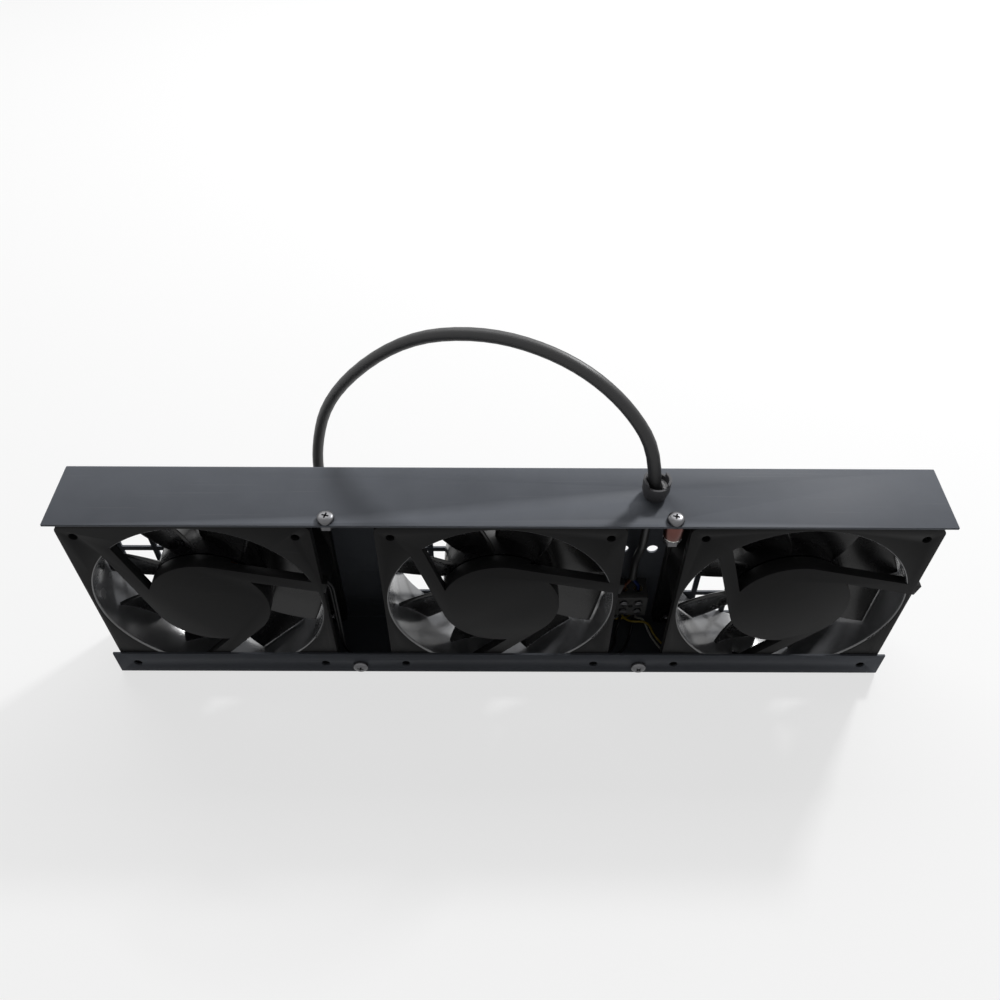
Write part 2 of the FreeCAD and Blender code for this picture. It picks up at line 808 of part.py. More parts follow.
def screw_master(name, length):
    """Cross-recess pan-head screw: its head stands on Z = 0 and its shank points down."""
    head, rise, edge = S.head_radius, S.head_height, S.head_round
    body = turned_body(name, [
        (0, -length), (S.thread_radius, -length), (S.thread_radius, 0), (head, 0),
        (head, rise - edge), (head - edge / 2, rise - edge / 4), (head - edge * 1.5, rise), (0, rise),
    ])
    cross = new_sketch(body, "XY_Plane", rise)
    arm, half = S.recess_length / 2, S.recess_width / 2
    draw_polygon(cross, [
        (arm, -half), (arm, half), (half, half), (half, arm), (-half, arm), (-half, half),
        (-arm, half), (-arm, -half), (-half, -half), (-half, -arm), (half, -arm), (half, -half)])
    pocket(body, cross, S.recess_depth)
    return body


def hexagon(half_flats):
    """Return the corners of a hexagon from half its width over flats."""
    reach = half_flats / math.cos(math.radians(30))
    turns = [math.radians(60 * step) for step in range(6)]
    return [(reach * math.cos(turn), reach * math.sin(turn)) for turn in turns]


def nut_master(name, half_flats, height, bore):
    """Hexagon nut that stands on Z = 0."""
    body = new_body(name)
    sketch = new_sketch(body, "XY_Plane")
    draw_polygon(sketch, hexagon(half_flats))
    draw_circle(sketch, 0, 0, bore)
    pad(body, sketch, height)
    return body


def build_fasteners():
    """Fan screws from behind, fixing screws through the panel and the lip, and their nuts."""
    grip = S.nut_height + S.thread_overhang
    fan_screw = screw_master("fan_screw_master", S.sheet_thick + S.flange_thick + grip)
    fixing_screw = screw_master("fixing_screw_master", S.sheet_thick + grip)
    earth_screw = screw_master("earth_screw_master", panel_bottom + S.sheet_thick - earth_nut_bottom
                               + S.thread_overhang)
    nut = nut_master("nut_master", S.nut_flats / 2, S.nut_height, S.thread_radius)
    behind = half_depth - S.sheet_thick - S.flange_thick
    places = fan_screw_places()
    copies("fan_screws", fan_screw, [(x, half_depth, z, TOWARDS_BACK) for x, z in places])
    copies("fan_nuts", nut, [(x, behind, z, TOWARDS_FRONT) for x, z in places])
    copies("panel_screw", fixing_screw, [(-S.fixing_offset, fixing_y, tray_height, UPWARDS)])
    copies("earth_screw", earth_screw, [(S.fixing_offset, fixing_y, tray_height, UPWARDS)])
    copies("panel_nut", nut, [(-S.fixing_offset, fixing_y, panel_bottom, DOWNWARDS)])
    copies("earth_nut", nut, [(S.fixing_offset, fixing_y, earth_nut_bottom + S.nut_height, DOWNWARDS)])
    sides = [sign * S.lip_fixing_offset for sign in (-1, 1)]
    lip_z = S.lip_fixing_height
    copies("lip_screws", fixing_screw, [(x, -half_depth, lip_z, TOWARDS_FRONT) for x in sides])
    copies("lip_nuts", nut, [(x, S.sheet_thick - half_depth, lip_z, TOWARDS_BACK) for x in sides])


def build_earth_stack():
    """Spacer, ring terminal and toothed washer under the panel, on the earth screw."""
    x, y = S.fixing_offset, fixing_y
    bore = cylinder("spacer_bore", S.thread_radius, S.spacer_length, x, y, earth_ring_top)
    blank = cylinder("spacer_blank", S.spacer_radius, S.spacer_length, x, y, earth_ring_top)
    node(cut("earth_spacer_cut", blank, bore), "earth_spacer")

    low = earth_star_top
    eye = cylinder("ring_eye", S.ring_radius, S.ring_thick, x, y, low)
    tongue = box("ring_tongue", S.crimp_radius * 2, S.ring_neck, S.ring_thick,
                 x, y + S.ring_neck / 2, low)
    barrel = cylinder("ring_barrel", S.crimp_radius, S.crimp_length, x, y + S.ring_neck,
                      low + S.ring_thick / 2, TOWARDS_BACK)
    hole = cylinder("ring_hole", S.thread_radius, S.ring_thick, x, y, low)
    terminal = cut("earth_terminal_cut", fuse("earth_terminal_blank", [eye, tongue, barrel]), hole)
    node(terminal, "earth_ring_terminal")

    star = new_body("star_washer_body")
    sketch = new_sketch(star, "XY_Plane")
    draw_circle(sketch, 0, 0, S.star_radius)
    draw_circle(sketch, 0, 0, S.thread_radius)
    pad(star, sketch, S.star_thick)
    notch = new_sketch(star, "XY_Plane")
    draw_rectangle(notch, S.star_radius, Size.of(0), S.star_thick * 2, S.star_thick)
    gap = pocket(star, notch, S.star_thick, along_normal=True)
    polar(star, gap, notch, STAR_TEETH)
    place(star, x, y, earth_star_top - S.star_thick)
    node(star, "earth_star_washer")


# ---------------------------------------------------------------- terminals and gland
web_face = half_depth - S.sheet_thick
block_front = web_face - S.block_depth
pole_y = web_face - S.block_depth / 2
pole_x = [S.block_centre + side * S.pole_pitch / 2 for side in (-1, 1)]
screw_z = [block_middle + side * S.clamp_screw_pitch / 2 for side in (-1, 1)]


def bored(name, blank, bores):
    """Cut a group of bores out of a blank."""
    return cut(name, blank, compound(name + "_bores", bores))


def build_terminals():
    """Two-pole terminal block on the web: body, clamps, clamp screws and fixing screw."""
    foot, rise = S.block_foot, S.block_height
    pin = S.block_pin_radius
    inner = S.clamp_radius - S.clamp_wall
    bores = [cylinder("pole_bore", S.clamp_radius, rise, x, pole_y, foot) for x in pole_x]
    bores += [cylinder("screw_bore", S.clamp_screw_radius, S.block_depth, x, block_front, z, TOWARDS_BACK)
              for x in pole_x for z in screw_z]
    bores.append(cylinder("pin_bore", pin, S.block_depth, S.block_centre, web_face, block_middle,
                          TOWARDS_FRONT))
    blank = box("block_blank", S.block_width, S.block_depth, rise, S.block_centre, pole_y, foot)
    node(bored("terminal_block_cut", blank, bores), "terminal_block")

    clamps = []
    length = rise - 2 * S.clamp_margin
    for x in pole_x:
        tube = cylinder("clamp_tube", S.clamp_radius, length, x, pole_y, foot + S.clamp_margin)
        holes = [cylinder("clamp_bore", inner, length, x, pole_y, foot + S.clamp_margin)]
        holes += [cylinder("clamp_thread", S.clamp_screw_radius, S.clamp_radius, x, pole_y - S.clamp_radius,
                           z, TOWARDS_BACK) for z in screw_z]
        clamps.append(bored("clamp_cut", tube, holes))
    node(compound("terminal_clamps", clamps), "terminal_clamps")

    screws = []
    for x in pole_x:
        for z in screw_z:
            shank = cylinder("clamp_shank", S.clamp_screw_radius, S.block_depth / 2 - inner,
                             x, block_front, z, TOWARDS_BACK)
            head = cylinder("clamp_head", S.clamp_screw_radius * 1.5, S.clamp_screw_radius, x, block_front,
                            z, TOWARDS_FRONT)
            slot = box("clamp_slot", S.clamp_screw_radius * 3, S.clamp_screw_radius / 2,
                       S.clamp_screw_radius / 2, x, block_front - S.clamp_screw_radius, z)
            screws.append(cut("clamp_screw_cut", fuse("clamp_screw", [shank, head]), slot))
    node(compound("terminal_screws", screws), "terminal_screws")

    length = S.sheet_thick + S.block_depth / 2
    shank = cylinder("block_screw_shank", pin, length, S.block_centre, half_depth, block_middle,
                     TOWARDS_FRONT)
    head = cylinder("block_screw_head", pin * 2, pin, S.block_centre, half_depth, block_middle,
                    TOWARDS_BACK)
    node(fuse("block_screw", [shank, head]), "terminal_fixing_screw")


ear_top = S.gland_floor_height + S.gland_cup_height + S.gland_ear_height
cup_bore = S.gland_rim - S.gland_cup_wall


def build_gland():
    """Cord bush in the panel: bowl with two ears, wedge beside the cord, locknut inside."""
    neck, rim, cord, floor = S.gland_neck, S.gland_rim, S.cord_radius, S.gland_floor_height
    body = turned_body("gland_turned_body", [
        (cord, -S.gland_length), (neck, -S.gland_length), (neck, 0), (S.gland_foot, 0),
        (rim, S.gland_bowl_height), (rim, ear_top), (cup_bore, ear_top), (cup_bore, floor), (cord, floor),
    ])
    slot = new_sketch(body, "XY_Plane", ear_top)
    draw_rectangle(slot, Size.of(0), Size.of(0), S.gland_ear_slot, rim * 3)
    pocket(body, slot, S.gland_ear_height)
    place(body, S.gland_offset, S.gland_depth, tray_height)
    node(body, "gland_body")

    seat = (S.gland_offset, S.gland_depth, tray_height + floor)
    turn = FreeCAD.Rotation(FreeCAD.Vector(0, 0, 1), S.wedge_turn.value)
    blank = cylinder("wedge_blank", cup_bore, S.wedge_height, *seat, turn)
    blank.setExpression("Angle", S.wedge_angle.text)
    bore = cylinder("wedge_bore", cord, S.wedge_height, *seat)
    node(cut("gland_wedge_cut", blank, bore), "gland_wedge")

    nut = nut_master("gland_locknut_body", S.gland_nut_radius, S.gland_nut_height, neck)
    place(nut, S.gland_offset, S.gland_depth, panel_bottom - S.gland_nut_height)
    node(nut, "gland_locknut")


# ---------------------------------------------------------------- cord and wires
# The cord's route is a list chosen by hand: up out of the gland, over the back edge, down to the floor.
CORD_POINTS = [
    (74.0, 1.0, 110.0), (74.0, 1.0, 146.0), (56.4, 9.7, 173.4), (28.5, 23.6, 188.6),
    (-8.6, 42.0, 188.6), (-50.6, 62.9, 168.7), (-94.0, 84.5, 116.8), (-109.5, 91.6, 68.3),
    (-110.5, 92.2, 29.4), (-119.7, 93.3, 13.3), (-135.7, 95.3, 4.0), (-153.8, 97.4, 4.0),
]
ARC_SHARE = 0.45


def rounded_path(points, report):
    """Return a wire of straight runs joined by tangent arcs; report prints each arc's radius."""
    stops = [FreeCAD.Vector(*point) for point in points]
    edges = []
    start = stops[0]
    radii = []
    for before, here, after in zip(stops, stops[1:], stops[2:]):
        back, ahead = (before - here), (after - here)
        trim = ARC_SHARE * min(back.Length, ahead.Length)
        half_turn = (math.pi - back.getAngle(ahead)) / 2
        radii.append(trim / math.tan(half_turn))
        entry = here + back.normalize() * trim
        leave = here + ahead.normalize() * trim
        inward = (back + ahead).normalize()
        bow = radii[-1] / math.cos(half_turn) - radii[-1]
        edges.append(Part.LineSegment(start, entry).toShape())
        edges.append(Part.Arc(entry, here + inward * bow, leave).toShape())
        start = leave
    edges.append(Part.LineSegment(start, stops[-1]).toShape())
    if report:
        print(report, "arc radii:", ", ".join(f"{radius:.1f}" for radius in radii))
    return Part.Wire(edges)


def tube_shape(points, radius, report=""):
    """Sweep a round section along a rounded path and compare the volume with section times length."""
    path = rounded_path(points, report)
    heading = FreeCAD.Vector(*points[1]) - FreeCAD.Vector(*points[0])
    ring = Part.Wire([Part.Circle(FreeCAD.Vector(*points[0]), heading, radius).toShape()])
    shape = path.makePipeShell([ring], True, False)
    expected = math.pi * radius ** 2 * path.Length
    if abs(shape.Volume / expected - 1) > 0.002:
        raise ValueError(f"a tube has {shape.Volume:.1f} mm3, not {expected:.1f} mm3")
    if report:
        print(report, f"length {path.Length:.0f} mm, volume {shape.Volume:.0f} of {expected:.0f} mm3")
    return shape


def tubes(label, radius, routes, report=""):
    """Make one node of round tubes, one along each route."""
    shapes = [tube_shape(route, radius.value, report) for route in routes]
    feature = doc.addObject("Part::Feature", label + "_tubes")
    feature.Shape = Part.makeCompound(shapes) if len(shapes) > 1 else shapes[0]
    feature.Placement = FreeCAD.Placement()
    return node(feature, label)


layer_height = 2 * S.cord_radius
coil_half_width = S.coil_columns * S.cord_radius
coil_inner = S.coil_radius - coil_half_width
coil_outer = S.coil_radius + coil_half_width
coil_top = S.tie_thick + S.coil_layers * layer_height
tail_height = S.tie_thick + S.coil_layers * S.cord_radius
last_turn = coil_outer - S.cord_radius
heading = S.tail_angle + 90
tail_x = S.coil_centre_x + last_turn * cosine(S.tail_angle)
tail_y = S.coil_centre_y + last_turn * sine(S.tail_angle)


def along_tail(thing, distance, height):
    """Place a solid on the line on which the cord leaves the coil."""
    place(thing, tail_x + distance * cosine(heading), tail_y + distance * sine(heading), height,
          FreeCAD.Rotation(FreeCAD.Vector(0, 0, 1), heading.value))
    thing.setExpression("Placement.Rotation.Angle", heading.text)
    return thing


def coil_ring(name):
    """Make the coil's outer shape: a ring with bevelled edges."""
    edge = S.cord_radius / 2
    body = turned_body(name, bevelled_ring(coil_inner, coil_outer, S.tie_thick, coil_top, edge))
    return place(body, S.coil_centre_x, S.coil_centre_y)


def build_coil():
    """Coil of spare cord behind the tray, and the two straps that hold it."""
    node(coil_ring("coil_body"), "power_cord_coil")
    ties = []
    for turn in TIE_ANGLES:
        rotation = FreeCAD.Rotation(FreeCAD.Vector(0, 0, 1), turn)
        reach = coil_half_width + 2 * S.tie_thick
        block = doc.addObject("Part::Box", "tie_block")
        bind(block, Length=2 * reach, Width=S.tie_width, Height=coil_top + S.tie_thick)
        cos, sin = math.cos(math.radians(turn)), math.sin(math.radians(turn))
        corner_x = (S.coil_radius - reach) * cos + S.tie_width / 2 * sin
        corner_y = (S.coil_radius - reach) * sin - S.tie_width / 2 * cos
        place(block, S.coil_centre_x + corner_x, S.coil_centre_y + corner_y, 0, rotation)
        ties.append(cut("tie_cut", block, coil_ring("tie_core")))
    node(compound("cord_ties", ties), "cord_ties")


def build_plug():
    """Short tail from the coil, and the moulded plug on it."""
    tail = cylinder("tail_rod", S.cord_radius, S.tail_length)
    turned_tail = FreeCAD.Rotation(FreeCAD.Vector(0, 0, 1), heading.value).multiply(ALONG_X)
    place(tail, tail_x, tail_y, tail_height, turned_tail)
    node(tail, "power_cord_tail")

    boot = turned_body("plug_boot_body", [
        (0, 0), (S.cord_radius + S.plug_edge / 2, 0), (S.boot_radius, S.boot_length), (0, S.boot_length)])
    place(boot, tail_x + S.tail_length * cosine(heading), tail_y + S.tail_length * sine(heading),
          tail_height, turned_tail)
    node(boot, "plug_boot")

    body = new_body("plug_moulding")
    outline = new_sketch(body, "XY_Plane")
    draw_rectangle(outline, S.plug_length / 2, Size.of(0), S.plug_length, S.plug_width)
    pad(body, outline, 2 * tail_height)
    round_edges(body, S.plug_edge, lambda edge: True)
    back = S.tail_length + S.boot_length
    node(along_tail(body, back, 0), "plug_body")

    front = back + S.plug_length
    pins = []
    for side in (-1, 1):
        y = side * S.pin_spacing / 2
        pins.append(box("blade_pin", S.pin_length, S.pin_thick, S.pin_width, S.pin_length / 2, y,
                        -S.pin_drop - S.pin_width / 2))
    pins.append(cylinder("earth_pin", S.earth_pin_radius, S.pin_length, 0, 0, S.earth_pin_rise, ALONG_X))
    node(along_tail(compound("plug_pins", pins), front, tail_height), "plug_pins")


LEAD_GAP = 0.25
LEAD_DIP = 0.1


def lead_route(centre, strut, offset, waypoints):
    """Return a fan lead's route: out of the motor base behind one of its struts, then the waypoints."""
    turn = math.radians(360 / STRUTS * strut - S.strut_angle.value)
    cos, sin = math.cos(turn), math.sin(turn)
    inset = strut_inset.value
    depth = half_fan.value - S.strut_depth.value - S.lead_radius.value
    route = []
    for along, across, dip in ((-10.0, inset - 9, 0.0), (4.0, inset, 0.0),
                               (S.duct_radius.value - 12, inset, LEAD_DIP), (55.0, inset, LEAD_DIP)):
        x = centre.value + along * cos - (across + offset) * sin
        z = axis_height.value + along * sin + (across + offset) * cos
        route.append((x, dip - depth, z))
    return route + waypoints


def build_leads():
    """Two leads from each fan to the terminal block; the outer fans' run along the bottom."""
    low_x, high_x = (pole.value for pole in pole_x)
    y = pole_y.value
    inside = S.block_foot.value + 2 * S.clamp_margin.value
    floor = S.sheet_thick.value + S.lead_radius.value + LEAD_GAP / 5
    step = S.lead_radius.value + LEAD_GAP
    left, centre, right = fan_centres()
    tubes("fan_leads_center", S.lead_radius, [
        lead_route(centre, 0, step, [
            (63.6, -12.0, 70.0), (63.4, 0.0, 48.0), (63.4, y, 28.0), (63.4, y, 15.0), (65.0, y, 9.0),
            (low_x - 0.9, y + 0.5, 9.5), (low_x - 0.9, y + 0.5, inside)]),
        lead_route(centre, 0, -step, [
            (61.9, -12.2, 69.0), (61.8, 0.0, 46.0), (61.8, y, 26.0), (61.8, y + 2, 11.0),
            (66.0, y + 2.2, 6.0), (high_x - 2.0, y + 2.2, 6.5), (high_x - 0.9, y + 0.5, inside)]),
    ])
    tubes("fan_leads_right", S.lead_radius, [
        lead_route(right, 2, step, [
            (130.0, -13.1, floor), (118.0, -12.5, floor), (96.0, -9.0, floor), (88.0, 2.0, 4.0),
            (84.0, y, 9.0), (high_x + 0.9, y + 0.5, 9.5), (high_x + 0.9, y + 0.5, inside)]),
        lead_route(right, 2, -step, [
            (130.0, -11.4, 2.6), (118.0, -10.6, floor), (98.0, -6.0, floor), (90.0, 4.0, 3.5),
            (86.5, y - 3, 10.0), (low_x + 2, y - 3, 10.5), (low_x, y - 1, inside)]),
    ])
    tubes("fan_leads_left", S.lead_radius, [
        lead_route(left, 0, step, [
            (-86.4, -12.6, 70.0), (-86.4, -12.6, 12.0), (-80.0, -12.5, floor), (60.0, -12.4, floor),
            (72.0, -6.0, floor), (high_x - 1, y - 6, floor + 0.6), (high_x, y - 1, 8.0),
            (high_x, y - 1, inside)]),
        lead_route(left, 0, -step, [
            (-88.1, -12.4, 69.0), (-88.1, -11.0, 12.0), (-82.0, -10.7, floor), (58.0, -10.7, floor),
            (66.5, -4.0, floor), (68.0, y - 5, floor + 0.6), (low_x + 0.9, y + 0.5, 6.0),
            (low_x + 0.9, y + 0.5, inside)]),
    ])


def build_cores():
    """Sleeve and cores of the cord inside the tray: two to the block, one to the ring terminal."""
    y = pole_y.value
    gland_x, gland_y, cord_foot = CORD_POINTS[0]
    core = S.core_radius.value
    sleeve_x = gland_x - S.cord_radius.value + S.sleeve_radius.value
    split_x = sleeve_x + 0.4
    block_top = S.block_foot.value + S.block_height.value
    split = block_top + 9.0
    tubes("core_sleeve", S.sleeve_radius, [[
        (sleeve_x, gland_y, cord_foot), (sleeve_x, gland_y, cord_foot - 24.0),
        (split_x, y, cord_foot - 46.0), (split_x, y, split)]])

    core_end = block_top - 2 * S.clamp_margin.value
    for label, side, pole in zip(("live_core", "neutral_core"), (-1, 1), pole_x):
        x = split_x + side * (core + LEAD_GAP / 5)
        tubes(label, S.core_radius, [[
            (x, y, split), (x, y, split - 2.2), (pole.value, y, block_top + 2.2),
            (pole.value, y, core_end)]])

    stud_x = S.fixing_offset.value
    earth_x = gland_x + S.cord_radius.value - core
    crimp_y = (fixing_y + S.ring_neck + S.crimp_length).value
    crimp_z = (earth_star_top + S.ring_thick / 2).value
    tubes("earth_core", S.core_radius, [[
        (earth_x, gland_y, cord_foot), (earth_x, gland_y, cord_foot - 6.0),
        (stud_x - 3.5, gland_y + 5.0, cord_foot - 9.5), (stud_x - 0.5, gland_y + 10.0, cord_foot - 5.0),
        (stud_x, gland_y + 9.5, crimp_z - 0.5), (stud_x, gland_y + 5.5, crimp_z),
        (stud_x, crimp_y, crimp_z)]])


# ---------------------------------------------------------------- build, check and write
def check_document():
    """Stop if any object failed or any sub-part has no valid shape."""
    doc.recompute()
    for thing in doc.Objects:
        if {"Invalid", "Error"} & set(thing.State):
            raise ValueError(f"{thing.Name} ({thing.Label}) failed: {thing.State}")
    for thing in nodes:
        if thing.Shape.isNull() or not thing.Shape.isValid() or not thing.Shape.Solids:
            raise ValueError(f"{thing.Label} has no valid shape")


def write_parts():
    """Write each sub-part to its own STEP file."""
    os.makedirs("parts", exist_ok=True)
    for thing in nodes:
        thing.Shape.exportStep(f"parts/{thing.Label}.step")
        print(f"{thing.Label}: {len(thing.Shape.Solids)} solids, {thing.Shape.Volume:.1f} mm3")


build_channel()
for fan_name, fan_centre in zip(FAN_NAMES, fan_centres()):
    build_fan_frame(fan_name, fan_centre, 2 if fan_name == "right" else 0)
    build_impeller(fan_name, fan_centre)
    build_motor(fan_name, fan_centre)
build_fasteners()
build_earth_stack()
build_terminals()
build_gland()
tubes("power_cord", S.cord_radius, [CORD_POINTS], "power_cord")
build_coil()
build_plug()
build_leads()
build_cores()
check_document()
write_parts()
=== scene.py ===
"""Rack fan tray: a painted steel channel with three black axial fans, wiring and a mains cord.

Metres, +Z up. The tray stands on its bottom flange and the strut side of the fans faces -Y.
"""

import logging
import math
from dataclasses import dataclass, field
from enum import Enum
from typing import Iterable, Sequence

import bmesh
import bpy
from mathutils import Matrix, Vector


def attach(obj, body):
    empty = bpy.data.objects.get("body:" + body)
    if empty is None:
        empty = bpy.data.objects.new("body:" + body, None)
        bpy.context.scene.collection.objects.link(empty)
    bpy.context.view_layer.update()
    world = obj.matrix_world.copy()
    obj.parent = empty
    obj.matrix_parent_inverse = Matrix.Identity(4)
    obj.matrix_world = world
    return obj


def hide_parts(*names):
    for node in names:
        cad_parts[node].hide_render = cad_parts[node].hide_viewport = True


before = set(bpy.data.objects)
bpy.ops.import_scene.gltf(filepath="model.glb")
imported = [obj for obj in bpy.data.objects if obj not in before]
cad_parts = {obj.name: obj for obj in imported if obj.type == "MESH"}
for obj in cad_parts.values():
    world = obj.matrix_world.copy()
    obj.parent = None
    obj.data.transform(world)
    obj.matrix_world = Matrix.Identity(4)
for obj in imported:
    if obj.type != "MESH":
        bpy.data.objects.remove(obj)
log = logging.getLogger("rack_fan_tray")

Point = tuple[float, float, float]
MM = 0.001


class BodyName(str, Enum):
    """The moving bodies of the tray."""

    TRAY = "tray"
    ROTOR_LEFT = "rotor_left"
    ROTOR_CENTER = "rotor_center"
    ROTOR_RIGHT = "rotor_right"


# ---- node trees
class Value:
    """A number or vector socket of a node tree, with arithmetic that adds math nodes."""

    def __init__(self, owner: "NodeTree", socket: bpy.types.NodeSocket) -> None:
        """Keep the tree that owns the socket."""
        self.owner = owner
        self.socket = socket

    def apply(self, operation: str, *others: "Value | float") -> "Value":
        """Add a math node.

        Args:
            operation: Blender's name of the operation.
            others: The second and third operands.

        Returns:
            The node's result.
        """
        return self.owner.math(operation, self, *others)

    def __add__(self, other: "Value | float") -> "Value":
        """Add."""
        return self.apply("ADD", other)

    def __sub__(self, other: "Value | float") -> "Value":
        """Subtract."""
        return self.apply("SUBTRACT", other)

    def __rsub__(self, other: float) -> "Value":
        """Subtract from a number."""
        return self.owner.math("SUBTRACT", other, self)

    def __mul__(self, other: "Value | float") -> "Value":
        """Multiply."""
        return self.apply("MULTIPLY", other)

    def __truediv__(self, other: "Value | float") -> "Value":
        """Divide."""
        return self.apply("DIVIDE", other)


Feed = Value | float | int | Sequence[float] | bpy.types.ID
Feeds = dict[str | int, Feed]


class NodeTree:
    """A shader or geometry node tree under construction."""

    def __init__(self, tree: bpy.types.NodeTree) -> None:
        """Start building in an existing tree."""
        self.tree = tree

    @classmethod
    def group(cls, name: str, kind: str) -> "NodeTree":
        """Make an empty node group of a kind, with its two end nodes."""
        made = cls(bpy.data.node_groups.new(name, kind))
        made.entry = made.tree.nodes.new("NodeGroupInput")
        made.exit = made.tree.nodes.new("NodeGroupOutput")
        return made

    @classmethod
    def cleared(cls, owner: bpy.types.ID) -> "NodeTree":
        """Start an empty tree in a material or world."""
        owner.use_nodes = True
        owner.node_tree.nodes.clear()
        return cls(owner.node_tree)

    def takes(self, name: str, kind: str, default: float | None = None) -> Value:
        """Give the group a named input.

        Args:
            name: The input's name.
            kind: The socket type's last word, such as Float.
            default: The input's value where nothing is linked.

        Returns:
            The input, for use inside the group.
        """
        socket = self.tree.interface.new_socket(
            name, in_out="INPUT", socket_type="NodeSocket" + kind)
        if default is not None:
            socket.default_value = default
        return Value(self, self.entry.outputs[name])

    def gives(self, name: str, kind: str, result: Value) -> None:
        """Give the group a named output."""
        self.tree.interface.new_socket(name, in_out="OUTPUT", socket_type="NodeSocket" + kind)
        self.feed(self.exit.inputs[name], result)

    def feed(self, socket: bpy.types.NodeSocket, source: Feed) -> None:
        """Link a value to a socket, or set the socket's own value."""
        if isinstance(source, Value):
            self.tree.links.new(source.socket, socket)
        else:
            socket.default_value = source

    def add(self, kind: str, feeds: Feeds | None = None, **settings: object) -> bpy.types.Node:
        """Add a node.

        Args:
            kind: The node's type.
            feeds: What goes into its inputs, by name or number.
            settings: The node's own properties.

        Returns:
            The new node.
        """
        node = self.tree.nodes.new(kind)
        for name, setting in settings.items():
            setattr(node, name, setting)
        for name, source in (feeds or {}).items():
            self.feed(node.inputs[name], source)
        return node

    def get(self, kind: str, feeds: Feeds | None = None, output: str | int = 0,
            **settings: object) -> Value:
        """Add a node and return one of its outputs as a value."""
        return Value(self, self.add(kind, feeds, **settings).outputs[output])

    def math(self, operation: str, *operands: Value | float) -> Value:
        """Add a math node and return its result."""
        return self.get("ShaderNodeMath", dict(enumerate(operands)), operation=operation)

    def joined(self, *parts: Value) -> Value:
        """Join geometries into one."""
        node = self.add("GeometryNodeJoinGeometry")
        for part in parts:
            self.tree.links.new(part.socket, node.inputs[0])
        return Value(self, node.outputs[0])


# ---- shader groups
EDGE_GAIN = 6.0
PATCH_SCALE = 160.0
SCRATCH_LEVEL = 0.73


def grain_group() -> bpy.types.NodeTree:
    """Build the surface grain that every finish uses.

    Returns:
        A group that takes Vector, Scale and Stretch and gives Tone and Height, both about 0.5.
    """
    made = NodeTree.group("surface_grain", "ShaderNodeTree")
    where = made.takes("Vector", "Vector")
    scale = made.takes("Scale", "Float", 800.0)
    stretch = made.takes("Stretch", "Float", 1.0)
    axis = made.get("ShaderNodeCombineXYZ", {"X": stretch, "Y": 1.0, "Z": 1.0})
    pulled = made.get("ShaderNodeVectorMath", {0: where, 1: axis}, operation="MULTIPLY")
    broad = made.get("ShaderNodeTexNoise", {"Vector": pulled, "Scale": scale * 0.05, "Detail": 3.0})
    fine = made.get("ShaderNodeTexNoise", {"Vector": pulled, "Scale": scale, "Detail": 2.0})
    made.gives("Tone", "Float", broad)
    made.gives("Height", "Float", fine * 0.7 + broad * 0.3)
    return made.tree


def wear_group() -> bpy.types.NodeTree:
    """Build the rubbed-edge mask of painted and moulded pieces.

    Returns:
        A group that takes Vector, Width and Amount and gives Mask, 1 where an edge is rubbed.
    """
    made = NodeTree.group("edge_wear", "ShaderNodeTree")
    where = made.takes("Vector", "Vector")
    width = made.takes("Width", "Float", 0.0004)
    amount = made.takes("Amount", "Float", 0.5)
    rounded = made.get("ShaderNodeBevel", {"Radius": width}, samples=4)
    flat = made.get("ShaderNodeNewGeometry", output="Normal")
    facing = made.get("ShaderNodeVectorMath", {0: rounded, 1: flat}, output="Value",
                      operation="DOT_PRODUCT")
    edge = made.math("SMOOTH_MIN", (1.0 - facing) * EDGE_GAIN, 1.0, 0.1)
    patches = made.get("ShaderNodeTexNoise", {
        "Vector": where, "Scale": PATCH_SCALE, "Detail": 4.0})
    made.gives("Mask", "Float", edge * patches * amount)
    return made.tree


def scuff_group() -> bpy.types.NodeTree:
    """Build fine handling scratches.

    Returns:
        A group that takes Vector and Amount and gives Mask, 1 on a scratch.
    """
    made = NodeTree.group("fine_scuffs", "ShaderNodeTree")
    where = made.takes("Vector", "Vector")
    amount = made.takes("Amount", "Float", 0.3)
    total: Value | None = None
    for angle, shift in ((0.35, 0.0), (-0.8, 3.7)):
        turned = made.get("ShaderNodeMapping", {
            "Vector": where, "Location": (shift, shift, shift), "Rotation": (0.0, 0.2, angle),
            "Scale": (14.0, 900.0, 300.0)})
        streaks = made.get("ShaderNodeTexNoise", {"Vector": turned, "Scale": 1.0, "Detail": 1.0})
        lines = made.math("GREATER_THAN", streaks, SCRATCH_LEVEL)
        total = lines if total is None else made.math("MAXIMUM", total, lines)
    spread = made.get("ShaderNodeTexNoise", {"Vector": where, "Scale": 22.0, "Detail": 2.0})
    made.gives("Mask", "Float", total * spread * amount)
    return made.tree


GRAIN = grain_group()
WEAR = wear_group()
SCUFF = scuff_group()
Colour = tuple[float, float, float]


